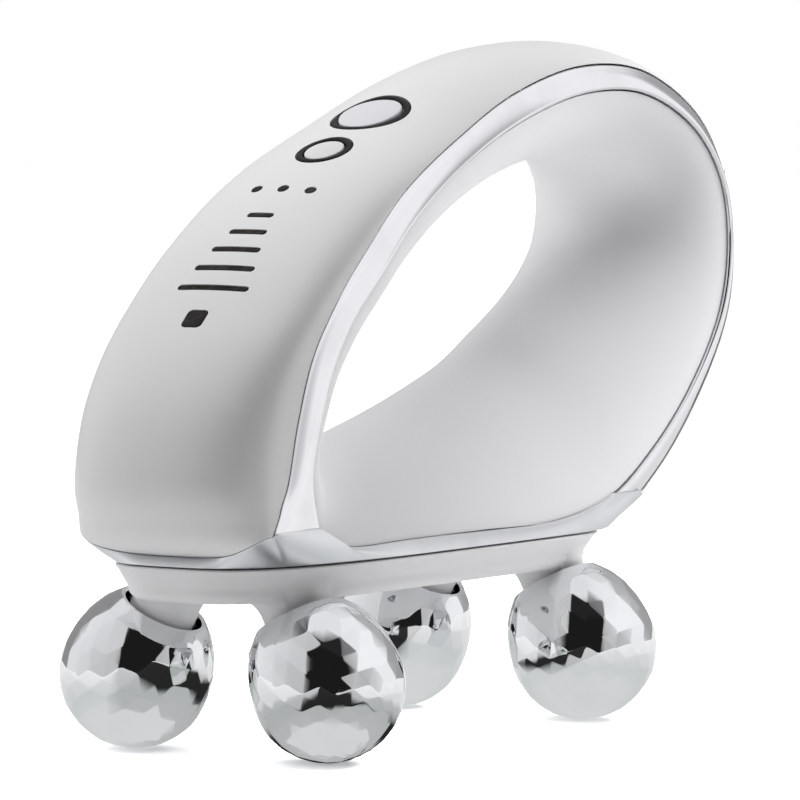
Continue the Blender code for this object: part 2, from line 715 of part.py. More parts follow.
def make_pan() -> bpy.types.Object:
    """Loft the pan, then join its necks, posts and screw bosses and bore them."""
    brim = Plan(BASE_FRONT, PAN_REAR, BASE_HALF_WIDTH, BASE_SEAM_Z - FIT_GAP)
    floor = Plan(PAN_FLOOR_FRONT, PAN_FLOOR_REAR, PAN_FLOOR_HALF_WIDTH, PAN_BOTTOM_Z)
    knee_inset = PAN_EDGE_ROUND * (1.0 - math.sqrt(0.5))
    knee = Plan(PAN_FLOOR_FRONT + PAN_EDGE_ROUND, PAN_FLOOR_REAR + PAN_EDGE_ROUND,
                PAN_FLOOR_HALF_WIDTH + PAN_EDGE_ROUND, PAN_BOTTOM_Z + PAN_EDGE_ROUND)
    outside = [floor.outline(), knee.outline(knee_inset, knee_inset - PAN_EDGE_ROUND),
               knee.outline(), brim.outline()]
    inside = [brim.outline(PAN_WALL), knee.outline(PAN_WALL), floor.outline(PAN_WALL, PAN_WALL)]
    skin = closed_loft(outside + inside, cap_ends=True)
    item = add_object("base_pan", skin, WHITE_SHELL)
    inner_floor = PAN_BOTTOM_Z + PAN_WALL
    for y_side in (-1, 1):
        for x_side in (-1, 1):
            tag = f"{x_side + 1}{y_side + 1}"
            neck = add_object(f"neck_{tag}", neck_mesh(y_side), None)
            neck.location.x = x_side * WHEEL_HALF_BASE
            boolean(item, neck, "UNION", solver="MANIFOLD")
            boss_top = BASE_SEAM_Z - FIT_GAP
            boss = add_object(f"boss_{tag}",
                              cylinder_mesh(SCREW_BOSS_RADIUS, boss_top - inner_floor + BOSS_SINK,
                                            PIN_STEPS), None)
            boss.location = (x_side * SCREW_HALF_BASE, y_side * SCREW_HALF_TRACK,
                             (boss_top + inner_floor - BOSS_SINK) / 2)
            join(item, boss)
    for x_side in (-1, 1):
        post_top = DRIVER_BOARD_Z - FIT_GAP
        post = add_object(f"post_{x_side + 1}",
                          cylinder_mesh(POST_RADIUS, post_top - inner_floor + BOSS_SINK,
                                        PIN_STEPS), None)
        post.location = (x_side * POST_PITCH / 2, 0.0, (post_top + inner_floor - BOSS_SINK) / 2)
        join(item, post)
    for y_side in (-1, 1):
        for x_side in (-1, 1):
            tag = f"{x_side + 1}{y_side + 1}"
            shank = add_object(f"shank_hole_{tag}",
                               cylinder_mesh(SCREW_SHANK_RADIUS + FIT_GAP, LOOP_FLOOR_Z,
                                             SCREW_STEPS), None)
            shank.location = (x_side * SCREW_HALF_BASE, y_side * SCREW_HALF_TRACK, PAN_BOTTOM_Z)
            sink = add_object(f"sink_{tag}",
                              cylinder_mesh(SCREW_HEAD_RADIUS + FIT_GAP,
                                            2 * (SCREW_SINK + FIT_GAP), PIN_STEPS), None)
            sink.location = shank.location
            bore = add_object(f"neck_bore_{tag}",
                              cylinder_mesh(AXLE_RADIUS + FIT_GAP, 2 * NECK_BORE_DEPTH,
                                            PIN_STEPS), None)
            bore.parent = bpy.data.objects[axis_name(x_side, y_side)]
            bore.location.z = NECK_TIP_HEIGHT
            cut(item, shank, sink, bore)
    return item


def axis_name(x_side: int, y_side: int) -> str:
    """Return the name of the empty on a roller's axis."""
    return f"{roller_name(x_side, y_side)}_axis"


def roller_name(x_side: int, y_side: int) -> str:
    """Return a roller's name from its sides; the control panel is the front."""
    end = "front" if x_side < 0 else "rear"
    hand = "left" if y_side > 0 else "right"
    return f"roller_{end}_{hand}"


def roller_rings() -> list[tuple[float, float, float]]:
    """Return (radius, height, turn) of the shell's belts, down the outside and up the inside."""
    top_angle = math.acos(ROLLER_RIM_RADIUS / ROLLER_RADIUS)
    stretch = ROLLER_RIM_HEIGHT / (ROLLER_RADIUS * math.sin(top_angle))
    pitch = math.tau / ROLLER_COLUMNS
    rings = []
    for belt in range(ROLLER_BELTS + 1):
        angle = top_angle - (top_angle + math.pi / 2) * belt / (ROLLER_BELTS + 1)
        height = ROLLER_RADIUS * math.sin(angle) * (stretch if angle > 0.0 else 1.0)
        rings.append((ROLLER_RADIUS * math.cos(angle), height, pitch / 2 * (belt % 2)))
    cavity = ROLLER_RADIUS - ROLLER_WALL
    shelf = math.acos(ROLLER_MOUTH_RADIUS / cavity)
    inside = []
    for belt in range(CAVITY_BELTS + 1):
        angle = -math.pi / 2 + (shelf + math.pi / 2) * (belt + 1) / (CAVITY_BELTS + 1)
        inside.append((cavity * math.cos(angle), cavity * math.sin(angle), 0.0))
    inside.append((ROLLER_MOUTH_RADIUS, ROLLER_RIM_HEIGHT, 0.0))
    return rings + inside


def make_roller_shell(name: str, frame: bpy.types.Object) -> bpy.types.Object:
    """Loft a faceted egg with an open mouth; belts turned by half a facet give the diamonds."""
    mesh = bmesh.new()
    belts = []
    for radius, height, turn in roller_rings():
        belts.append([mesh.verts.new((radius * math.cos(turn + math.tau * step / ROLLER_COLUMNS),
                                      radius * math.sin(turn + math.tau * step / ROLLER_COLUMNS),
                                      height)) for step in range(ROLLER_COLUMNS)])
    outer = belts[:ROLLER_BELTS + 1]
    inside = belts[ROLLER_BELTS + 1:]
    for number, (upper, lower) in enumerate(zip(outer, outer[1:])):
        for step in range(ROLLER_COLUMNS):
            after = (step + 1) % ROLLER_COLUMNS
            if number % 2 == 0:
                mesh.faces.new((upper[step], lower[step], upper[after]))
                mesh.faces.new((upper[after], lower[step], lower[after]))
            else:
                mesh.faces.new((upper[step], lower[step], lower[after]))
                mesh.faces.new((upper[step], lower[after], upper[after]))
    for lower, upper in list(zip(inside, inside[1:])) + [(inside[-1], outer[0])]:
        for step in range(ROLLER_COLUMNS):
            after = (step + 1) % ROLLER_COLUMNS
            mesh.faces.new((lower[step], lower[after], upper[after], upper[step]))
    for belt, height in ((outer[-1], -ROLLER_RADIUS), (inside[0], ROLLER_WALL - ROLLER_RADIUS)):
        pole = mesh.verts.new((0.0, 0.0, height))
        for step in range(ROLLER_COLUMNS):
            mesh.faces.new((belt[step], pole, belt[(step + 1) % ROLLER_COLUMNS]))
    bmesh.ops.recalc_face_normals(mesh, faces=mesh.faces)
    return add_object(name, mesh, BRIGHT_CHROME, smooth=False, parent=frame)


def make_roller(body: bpy.types.Object, x_side: int, y_side: int) -> None:
    """Make one roller with its hub and bush, and the fixed axle and clip inside it."""
    tilt = y_side * ROLLER_SPLAY
    place = Vector((x_side * WHEEL_HALF_BASE, y_side * WHEEL_HALF_TRACK, ROLLER_RADIUS))
    frame = empty_frame(axis_name(x_side, y_side),
                        Matrix.Translation(place) @ Matrix.Rotation(tilt, 4, "X"), body)
    name = roller_name(x_side, y_side)
    make_roller_shell(f"{name}_shell", frame)
    hub_top = NECK_TIP_HEIGHT - HUB_END_GAP
    cavity = ROLLER_RADIUS - ROLLER_WALL
    hub_bore = AXLE_RADIUS + FIT_GAP + BUSH_WALL + FIT_GAP
    hub_radius = hub_bore + HUB_WALL
    hub_foot = HUB_END_GAP - math.sqrt(cavity ** 2 - hub_radius ** 2)
    flange = ROLLER_MOUTH_RADIUS - HUB_MOUTH_GAP
    turned(f"{name}_hub", [
        (hub_bore, hub_top), (flange, hub_top), (flange, hub_top - HUB_FLANGE_THICKNESS),
        (hub_radius, hub_top - HUB_FLANGE_THICKNESS), (hub_radius, hub_foot), (0.0, hub_foot),
        (0.0, hub_foot + HUB_FLOOR), (hub_bore, hub_foot + HUB_FLOOR),
    ], HUB_RESIN, frame, PIN_STEPS, ring=True)
    axle_foot = hub_foot + HUB_FLOOR + AXLE_END_GAP
    groove_foot = axle_foot + AXLE_NOSE
    groove_top = groove_foot + FIT_GAP + CLIP_THICKNESS + FIT_GAP
    bush_top = hub_top - FIT_GAP
    bush_foot = groove_top + FIT_GAP
    bush_bore = AXLE_RADIUS + FIT_GAP
    turned(f"{name}_bush", [
        (bush_bore + BUSH_WALL, bush_top), (bush_bore + BUSH_WALL, bush_foot),
        (bush_bore, bush_foot), (bush_bore, bush_top),
    ], BUSH_RESIN, frame, PIN_STEPS, ring=True)
    axle_top = NECK_TIP_HEIGHT + NECK_BORE_DEPTH - FIT_GAP
    groove_radius = AXLE_RADIUS - AXLE_GROOVE_DEPTH
    turned(f"axle_{name[7:]}", [
        (0.0, axle_top), (AXLE_RADIUS, axle_top), (AXLE_RADIUS, groove_top),
        (groove_radius, groove_top), (groove_radius, groove_foot), (AXLE_RADIUS, groove_foot),
        (AXLE_RADIUS, axle_foot), (0.0, axle_foot),
    ], STEEL, frame, PIN_STEPS)
    clip_top = groove_top - FIT_GAP
    clip_bore = groove_radius + CLIP_BORE_GAP
    turned(f"axle_clip_{name[7:]}", [
        (clip_bore + CLIP_REACH, clip_top), (clip_bore + CLIP_REACH, clip_top - CLIP_THICKNESS),
        (clip_bore, clip_top - CLIP_THICKNESS), (clip_bore, clip_top),
    ], STEEL, frame, PIN_STEPS, ring=True)


def make_button(name: str, frame: bpy.types.Object, ring_radius: float,
                board_depth: float) -> None:
    """Make one button: its dark ring in the panel, its domed cap and the switch below."""
    lip = ring_radius - RING_WALL
    cap_radius = lip - FIT_GAP
    flange = cap_radius + CAP_FLANGE_REACH
    seat = flange + FIT_GAP
    turned(f"{name}_ring", [
        (ring_radius, 0.0), (ring_radius, -RING_HEIGHT), (seat, -RING_HEIGHT),
        (seat, -RING_LIP_HEIGHT), (lip, -RING_LIP_HEIGHT), (lip, 0.0),
    ], DARK_PLASTIC, frame, steps=BUTTON_STEPS, ring=True)
    flange_top = -RING_LIP_HEIGHT - FIT_GAP
    switch_top = -board_depth + FIT_GAP + SWITCH_HEIGHT + SWITCH_PLUNGER_HEIGHT
    stem_foot = switch_top + CAP_TRAVEL + FIT_GAP
    dome = [(cap_radius * share, CAP_PROUD + CAP_CROWN * (1.0 - share ** 2))
            for share in DOME_SHARES]
    turned(f"{name}_cap", dome + [
        (cap_radius, 0.0), (cap_radius, flange_top), (flange, flange_top),
        (flange, flange_top - CAP_FLANGE_THICKNESS),
        (CAP_STEM_RADIUS, flange_top - CAP_FLANGE_THICKNESS),
        (CAP_STEM_RADIUS, stem_foot), (0.0, stem_foot),
    ], PALE_CAP, frame, steps=BUTTON_STEPS)
    switch = add_object(f"{name}_switch", block_mesh((SWITCH_SIDE, SWITCH_SIDE, SWITCH_HEIGHT)),
                        DARK_PLASTIC, parent=frame)
    switch.location.z = -board_depth + FIT_GAP + SWITCH_HEIGHT / 2
    plunger = add_object(f"{name}_plunger",
                         cylinder_mesh(SWITCH_PLUNGER_RADIUS, 2 * SWITCH_PLUNGER_HEIGHT,
                                       PIN_STEPS), None, parent=frame)
    plunger.location.z = -board_depth + FIT_GAP + SWITCH_HEIGHT
    join(switch, plunger)


def depth_to_plane(frame: Matrix, board: Matrix) -> float:
    """Return the distance from a panel frame down its own axis to a board's top plane."""
    out = frame.col[2].to_3d()
    normal = board.col[2].to_3d()
    gap = frame.translation - board.translation
    return gap.dot(normal) / out.dot(normal)


def make_panel(ring: Ring, body: bpy.types.Object, cover: bpy.types.Object) -> None:
    """Set the buttons, lights and lamp in the cover, with their boards behind."""
    panel_board = ring.crest_frame((POWER_SHARE + MODE_SHARE) / 2)
    panel_board = panel_board @ Matrix.Translation((0.0, 0.0, -PANEL_BOARD_DEPTH))
    board = add_object("button_board",
                       block_mesh((PANEL_BOARD_LENGTH, PANEL_BOARD_WIDTH, BOARD_THICKNESS)),
                       CIRCUIT_BOARD, parent=body)
    board.matrix_local = panel_board @ Matrix.Translation((0.0, 0.0, -BOARD_THICKNESS / 2))
    for name, share, radius in (("power_button", POWER_SHARE, POWER_RING_RADIUS),
                                ("mode_button", MODE_SHARE, MODE_RING_RADIUS)):
        matrix = ring.crest_frame(share)
        frame = empty_frame(f"{name}_axis", matrix, body)
        make_button(name, frame, radius, depth_to_plane(matrix, panel_board))
        hole = add_object(f"{name}_hole",
                          cylinder_mesh(radius + FIT_GAP, 2 * RING_HEIGHT + OVERRUN,
                                        BUTTON_STEPS), None, parent=frame)
        cut(cover, hole)
    lamp_board = ring.crest_frame(BAR_SHARES[2])
    lamp_board = lamp_board @ Matrix.Translation((0.0, 0.0, -LAMP_BOARD_DEPTH))
    board = add_object("lamp_board",
                       block_mesh((LAMP_BOARD_LENGTH, LAMP_BOARD_WIDTH, BOARD_THICKNESS)),
                       CIRCUIT_BOARD, parent=body)
    board.matrix_local = lamp_board @ Matrix.Translation((0.0, 0.0, -BOARD_THICKNESS / 2))
    windows = [(f"dot_{number + 1}", DOT_ROW_SHARE, (number - 1) * DOT_PITCH,
                (DOT_DIAMETER, DOT_DIAMETER), DOT_DIAMETER / 2) for number in range(3)]
    for number, share in enumerate(BAR_SHARES):
        width = BAR_SHORT + (BAR_LONG - BAR_SHORT) * number / (len(BAR_SHARES) - 1)
        windows.append((f"bar_{number + 1}", share, 0.0, (BAR_THICKNESS, width),
                        BAR_THICKNESS / 2))
    windows.append(("lamp", LAMP_SHARE, 0.0, (LAMP_SIDE, LAMP_SIDE), LAMP_CORNER))
    for name, share, across, (length, width), corner in windows:
        matrix = ring.crest_frame(share)
        depth = depth_to_plane(matrix, lamp_board) - LIGHT_BACK_GAP
        frame = empty_frame(f"{name}_frame", matrix, body)
        light = add_object(f"light_{name}",
                           block_mesh((length, width, depth), min(corner, length * CORNER_LIMIT_SHARE)),
                           LAMP_TINT, parent=frame)
        light.location = (0.0, across, -depth / 2)
        slot_length = length + 2 * FIT_GAP
        slot = add_object(f"slot_{name}",
                          block_mesh((slot_length, width + 2 * FIT_GAP, 2 * depth),
                                     min(corner + FIT_GAP, slot_length * CORNER_LIMIT_SHARE)),
                          None, parent=frame)
        slot.location = (0.0, across, 0.0)
        cut(cover, slot)


def make_base_parts(body: bpy.types.Object) -> None:
    """Make the driver board, battery, transducer and screws that the base holds."""
    board = add_object("driver_board",
                       block_mesh((DRIVER_BOARD_LENGTH, DRIVER_BOARD_WIDTH, BOARD_THICKNESS)),
                       CIRCUIT_BOARD, parent=body)
    board.location.z = DRIVER_BOARD_Z + BOARD_THICKNESS / 2
    battery = add_object("battery",
                         block_mesh((BATTERY_LENGTH, BATTERY_WIDTH, BATTERY_HEIGHT),
                                    BATTERY_CORNER), CELL_WRAP, parent=body)
    battery.location.z = DRIVER_BOARD_Z + BOARD_THICKNESS + FIT_GAP + BATTERY_HEIGHT / 2
    floor = PAN_BOTTOM_Z + PAN_WALL + FIT_GAP
    turned("transducer", [
        (0.0, floor + TRANSDUCER_THICKNESS), (TRANSDUCER_RADIUS, floor + TRANSDUCER_THICKNESS),
        (TRANSDUCER_RADIUS, floor), (0.0, floor),
    ], CERAMIC, body)
    head = PAN_BOTTOM_Z + SCREW_SINK
    for x_side in (-1, 1):
        for y_side in (-1, 1):
            screw = turned(f"pan_screw_{roller_name(x_side, y_side)[7:]}", [
                (0.0, BASE_SEAM_Z + LUG_THICKNESS), (SCREW_SHANK_RADIUS, BASE_SEAM_Z + LUG_THICKNESS),
                (SCREW_SHANK_RADIUS, head), (SCREW_HEAD_RADIUS, head),
                (SCREW_HEAD_RADIUS, head - SCREW_HEAD_HEIGHT), (0.0, head - SCREW_HEAD_HEIGHT),
            ], STEEL, body, SCREW_STEPS)
            screw.location = (x_side * SCREW_HALF_BASE, y_side * SCREW_HALF_TRACK, 0.0)


def make_jack(ring: Ring, body: bpy.types.Object, cover: bpy.types.Object) -> None:
    """Set the charging jack in the lower rear of the cover."""
    fine = Ring(GUIDE_STEPS)
    span = range(JACK_STATIONS[0] * GUIDE_STEPS, JACK_STATIONS[1] * GUIDE_STEPS)
    index = min(span, key=lambda item: abs(fine.cover_crest[item, 1] - JACK_Z))
    place = fine.cover_crest[index]
    run = fine.cover_crest[index - 1] - fine.cover_crest[index + 1]
    up = Vector((run[0], 0.0, run[1])).normalized()
    across = Vector((0.0, 1.0, 0.0))
    out = across.cross(up)
    turn = Matrix((across, up, out)).transposed().to_4x4()
    matrix = Matrix.Translation((place[0], 0.0, place[1])) @ turn
    frame = empty_frame("jack_frame", matrix, body)
    back = -COVER_WALL - FIT_GAP
    turned("charge_jack", [
        (JACK_RADIUS, 0.0), (JACK_RADIUS, back), (JACK_RADIUS + JACK_FLANGE_REACH, back),
        (JACK_RADIUS + JACK_FLANGE_REACH, back - JACK_FLANGE_THICKNESS),
        (JACK_RADIUS, back - JACK_FLANGE_THICKNESS), (JACK_RADIUS, -JACK_LENGTH),
        (0.0, -JACK_LENGTH), (0.0, -JACK_LENGTH + JACK_FLANGE_THICKNESS),
        (JACK_BORE_RADIUS, -JACK_LENGTH + JACK_FLANGE_THICKNESS), (JACK_BORE_RADIUS, 0.0),
    ], DARK_PLASTIC, frame, ring=True)
    hole = add_object("jack_hole", cylinder_mesh(JACK_RADIUS + FIT_GAP, 2 * COVER_WALL + OVERRUN),
                      None, parent=frame)
    cut(cover, hole)


def main() -> None:
    """Build the massager."""
    clear_scene()
    ring = Ring()
    body = empty_frame("body_frame", Matrix.Translation((-ring.middle_x(), 0.0, 0.0)), None)
    foot = joint_cutter("cover_foot_cutter", 0.0, upwards=False)
    front = make_cover(ring, "front_cover", COVER_FIRST_STATION, COVER_SPLIT_STATION, 0.0)
    rear = make_cover(ring, "rear_cover", COVER_SPLIT_STATION, COVER_LAST_STATION, FIT_GAP)
    cut(front, foot)
    cut(rear, foot)
    make_liner(ring)
    make_trim(ring, "side_trim_left", 1.0, foot)
    make_trim(ring, "side_trim_right", -1.0, foot)
    make_bezel(ring)
    for x_side in (-1, 1):
        for y_side in (-1, 1):
            make_roller(body, x_side, y_side)
    make_pan()
    make_panel(ring, body, front)
    make_base_parts(body)
    make_jack(ring, body, rear)
    for item in bpy.data.objects:
        if item.parent is None and item != body:
            item.parent = body
    bpy.context.view_layer.update()


main()
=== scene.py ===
"""Looks of a handheld body massager with a finger loop and four faceted rollers.

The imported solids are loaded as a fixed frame, and finer pieces are built round them: crowned
white covers with a panel of buttons and lights, a satin liner, plated side trims and bezel, a
pan whose necks flow into its walls, and faceted plated rollers. Lengths are metres in the frame
of the solids: +Z is up, the control panel faces -X, and the rollers stand on Z = 0.
"""

import json
import logging
import math
from collections.abc import Callable
from dataclasses import dataclass, field
from enum import Enum

import bmesh
import bpy
import numpy as np
from mathutils import Matrix, Vector
from mathutils.bvhtree import BVHTree

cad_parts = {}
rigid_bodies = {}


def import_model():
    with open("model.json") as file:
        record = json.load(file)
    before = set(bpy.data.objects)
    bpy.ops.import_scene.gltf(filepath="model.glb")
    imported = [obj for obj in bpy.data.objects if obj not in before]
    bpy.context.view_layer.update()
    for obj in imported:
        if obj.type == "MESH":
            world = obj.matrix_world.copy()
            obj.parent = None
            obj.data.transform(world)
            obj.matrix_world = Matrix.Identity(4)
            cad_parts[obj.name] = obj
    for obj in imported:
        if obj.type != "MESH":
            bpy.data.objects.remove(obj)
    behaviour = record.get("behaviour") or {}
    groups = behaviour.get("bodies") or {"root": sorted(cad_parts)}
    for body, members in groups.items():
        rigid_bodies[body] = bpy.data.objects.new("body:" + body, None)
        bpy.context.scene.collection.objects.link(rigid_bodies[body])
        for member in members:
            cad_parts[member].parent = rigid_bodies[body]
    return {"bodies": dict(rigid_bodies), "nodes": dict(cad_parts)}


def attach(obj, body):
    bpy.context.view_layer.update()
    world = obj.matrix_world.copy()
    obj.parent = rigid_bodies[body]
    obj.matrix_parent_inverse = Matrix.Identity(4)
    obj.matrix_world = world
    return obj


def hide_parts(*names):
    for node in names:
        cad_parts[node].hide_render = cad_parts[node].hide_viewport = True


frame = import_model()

LOG = logging.getLogger("massager")
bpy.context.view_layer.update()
MM = 0.001

# Guide stations round the ring, as shares of the loop's length and height: trim's inner edge,
# liner crest, trim's outer edge, cover crest, then how square the cover's cross-section is.
RING_SHARES = (
    (-0.308, 0.030, -0.214, 0.198, -0.410, 0.012, -0.452, 0.001, 0.30),
    (-0.326, 0.093, -0.224, 0.230, -0.400, 0.088, -0.487, 0.082, 0.55),
    (-0.331, 0.177, -0.220, 0.270, -0.380, 0.161, -0.494, 0.177, 0.85),
    (-0.316, 0.272, -0.204, 0.314, -0.359, 0.293, -0.469, 0.314, 1.00),
    (-0.289, 0.388, -0.176, 0.369, -0.329, 0.423, -0.420, 0.434, 1.00),
    (-0.247, 0.492, -0.135, 0.434, -0.277, 0.542, -0.349, 0.557, 0.90),
    (-0.182, 0.594, -0.088, 0.504, -0.203, 0.666, -0.261, 0.696, 0.60),
    (-0.094, 0.728, -0.018, 0.591, -0.113, 0.797, -0.147, 0.829, 0.30),
    (0.018, 0.844, 0.073, 0.681, 0.004, 0.908, -0.012, 0.939, 0.15),
    (0.153, 0.939, 0.191, 0.764, 0.142, 1.011, 0.134, 1.044, 0.10),
    (0.305, 1.000, 0.308, 0.821, 0.302, 1.070, 0.301, 1.108, 0.10),
    (0.446, 0.998, 0.411, 0.838, 0.454, 1.056, 0.465, 1.112, 0.15),
    (0.570, 0.920, 0.482, 0.804, 0.590, 0.953, 0.617, 1.016, 0.20),
    (0.646, 0.795, 0.517, 0.743, 0.665, 0.800, 0.713, 0.847, 0.30),
    (0.669, 0.636, 0.508, 0.657, 0.691, 0.626, 0.746, 0.620, 0.30),
    (0.649, 0.467, 0.458, 0.589, 0.675, 0.451, 0.722, 0.409, 0.30),
    (0.575, 0.293, 0.388, 0.515, 0.600, 0.262, 0.628, 0.214, 0.30),
    (0.476, 0.148, 0.311, 0.447, 0.496, 0.095, 0.511, 0.051, 0.30),
    (0.364, 0.042, 0.241, 0.384, 0.382, -0.011, 0.388, -0.110, 0.30),
    (0.223, 0.000, 0.159, 0.331, 0.223, -0.034, 0.223, -0.034, 0.30),
    (0.059, 0.000, 0.041, 0.267, 0.059, -0.034, 0.059, -0.034, 0.30),
    (-0.106, 0.000, -0.082, 0.214, -0.106, -0.034, -0.106, -0.034, 0.30),
    (-0.247, 0.000, -0.176, 0.186, -0.305, -0.034, -0.305, -0.034, 0.60),
)


class Value:
    """A number socket of a node tree; each operator adds the Math node that it stands for."""

    def __init__(self, sheet: "Sheet", socket: bpy.types.NodeSocket) -> None:
        """Keep the sheet that the socket belongs to."""
        self.sheet = sheet
        self.socket = socket

    def __add__(self, other: "Value | float") -> "Value":
        """Add."""
        return self.sheet.maths("ADD", self, other)

    def __sub__(self, other: "Value | float") -> "Value":
        """Subtract."""
        return self.sheet.maths("SUBTRACT", self, other)

    def __rsub__(self, other: float) -> "Value":
        """Subtract from a number."""
        return self.sheet.maths("SUBTRACT", other, self)

    def __mul__(self, other: "Value | float") -> "Value":
        """Multiply."""
        return self.sheet.maths("MULTIPLY", self, other)

    def __truediv__(self, other: "Value | float") -> "Value":
        """Divide."""
        return self.sheet.maths("DIVIDE", self, other)

    def __pow__(self, power: float) -> "Value":
        """Raise to a power."""
        return self.sheet.maths("POWER", self, power)

    def __gt__(self, other: "Value | float") -> "Value":
        """Give one where this is the larger, and nought elsewhere."""
        return self.sheet.maths("GREATER_THAN", self, other)

    __radd__ = __add__
    __rmul__ = __mul__


Fed = "Value | bpy.types.NodeSocket | float | int | tuple | str | bpy.types.Material"


class Sheet:
    """A node tree, with one method that adds any node together with its settings."""

    def __init__(self, tree: bpy.types.NodeTree) -> None:
        """Keep the tree."""
        self.tree = tree

    def node(self, kind: str, settings: dict[str, object] | None = None,
             sockets: "dict[str | int, Fed] | None" = None) -> bpy.types.Node:
        """Add a node.

        Args:
            kind: Node type.
            settings: Properties that are set first; stops fills a ramp with (place, colour).
            sockets: What each input socket is linked to or set to.

        Returns:
            The new node.
        """
        made = self.tree.nodes.new(kind)
        for name, value in (settings or {}).items():
            if name == "stops":
                ramp = made.color_ramp.elements
                while len(ramp) < len(value):
                    ramp.new(1.0)
                for stop, (place, colour) in zip(ramp, value):
                    stop.position = place
                    stop.color = (*colour, 1.0)
            else:
                setattr(made, name, value)
        for key, value in (sockets or {}).items():
            self.feed(made.inputs[key], value)
        return made

    def feed(self, socket: bpy.types.NodeSocket, value: "Fed") -> None:
        """Link a socket to a value, or set it."""
        if isinstance(value, Value):
            value = value.socket
        if isinstance(value, bpy.types.NodeSocket):
            self.tree.links.new(value, socket)
        else:
            socket.default_value = value

    def maths(self, operation: str, *values: "Value | float") -> Value:
        """Return the result of one Math node."""
        made = self.node("ShaderNodeMath", {"operation": operation}, dict(enumerate(values)))
        return Value(self, made.outputs[0])

    def ramp(self, value: Value, start: float, end: float) -> Value:
        """Return a smooth rise from nought at one level of a value to one at another."""
        made = self.node("ShaderNodeMapRange", {"interpolation_type": "SMOOTHSTEP"},
                         {0: value, 1: start, 2: end, 3: 0.0, 4: 1.0})
        return Value(self, made.outputs[0])

    def blend(self, share: "Value | float", first: "Fed", second: "Fed") -> bpy.types.NodeSocket:
        """Return the mix of two colours."""
        made = self.node("ShaderNodeMix", {"data_type": "RGBA"}, {0: share, 6: first, 7: second})
        return made.outputs[2]

    def vector(self, operation: str, first: "Fed", second: "Fed",
               output: int = 0) -> bpy.types.NodeSocket:
        """Return the result of one Vector Math node."""
        made = self.node("ShaderNodeVectorMath", {"operation": operation}, {0: first, 1: second})
        return made.outputs[output]

    def scaled(self, vector: "Fed", factor: "Fed") -> bpy.types.NodeSocket:
        """Return a vector times a number."""
        return self.node("ShaderNodeVectorMath", {"operation": "SCALE"},
                         {0: vector, "Scale": factor}).outputs[0]

    def joined(self, *parts: "Fed") -> bpy.types.NodeSocket:
        """Return three numbers as one vector."""
        return self.node("ShaderNodeCombineXYZ", None, dict(enumerate(parts))).outputs[0]

    def emboss(self, shader: bpy.types.Node, height: Value, strength: float,
               distance: float) -> None:
        """Feed a pattern's height to a shader's normal."""
        bump = self.node("ShaderNodeBump", None, {
            "Strength": strength, "Distance": distance, "Height": height})
        self.feed(shader.inputs["Normal"], bump.outputs[0])

    def noise(self, place: bpy.types.NodeSocket, scale: float, detail: float = 2.0,
              distortion: float = 0.0) -> Value:
        """Return a cloudy pattern from nought to one."""
        made = self.node("ShaderNodeTexNoise", None, {
            "Vector": place, "Scale": scale, "Detail": detail, "Distortion": distortion})
        return Value(self, made.outputs[0])


@dataclass(frozen=True)
class Finish:
    """What every finish has: its name, main colour and roughness."""

    name: str
    colour: tuple[float, float, float]
    roughness: float

    def material(self) -> bpy.types.Material:
        """Return the finish's material, made on first use."""
        found = bpy.data.materials.get(f"{self.name}_finish")
        if found is not None:
            return found
        made = bpy.data.materials.new(f"{self.name}_finish")
        made.use_nodes = True
        sheet = Sheet(made.node_tree)
        shader = made.node_tree.nodes["Principled BSDF"]
        place = sheet.node("ShaderNodeTexCoord").outputs["Object"]
        self.dress(sheet, shader, place)
        return made

    def dress(self, sheet: Sheet, shader: bpy.types.Node, place: bpy.types.NodeSocket) -> None:
        """Join the finish's pattern to the shader."""
        raise NotImplementedError

    def tone(self, gain: float) -> tuple[float, float, float, float]:
        """Return the main colour, lighter or darker."""
        return (*(min(part * gain, 1.0) for part in self.colour), 1.0)


@dataclass(frozen=True)
class Moulded(Finish):
    """Moulded or painted plastic: faint clouding, uneven gloss and a fine surface grain."""

    cloud: float = 0.03
    cloud_scale: float = 38.0
    grain_scale: float = 2600.0
    grain_height: float = 0.004
    grain_strength: float = 0.35
    coat: float = 0.0
    coat_roughness: float = 0.12
    wear: float = 0.04
    wear_scale: float = 120.0
    shine: float = 0.5

    def dress(self, sheet: Sheet, shader: bpy.types.Node, place: bpy.types.NodeSocket) -> None:
        """Join clouding to the colour, unevenness to the gloss and grain to the surface."""
        clouds = sheet.noise(place, self.cloud_scale, 3.0)
        colour = sheet.blend(clouds, self.tone(1.0 - self.cloud), self.tone(1.0 + self.cloud))
        sheet.feed(shader.inputs["Base Color"], colour)
        worn = sheet.noise(place, self.wear_scale, 4.0) * self.wear
        sheet.feed(shader.inputs["Roughness"], worn + (self.roughness - self.wear / 2))
        sheet.emboss(shader, sheet.noise(place, self.grain_scale), self.grain_strength,
                     self.grain_height * MM)
        shader.inputs["Coat Weight"].default_value = self.coat
        shader.inputs["Coat Roughness"].default_value = self.coat_roughness
        shader.inputs["Specular IOR Level"].default_value = self.shine


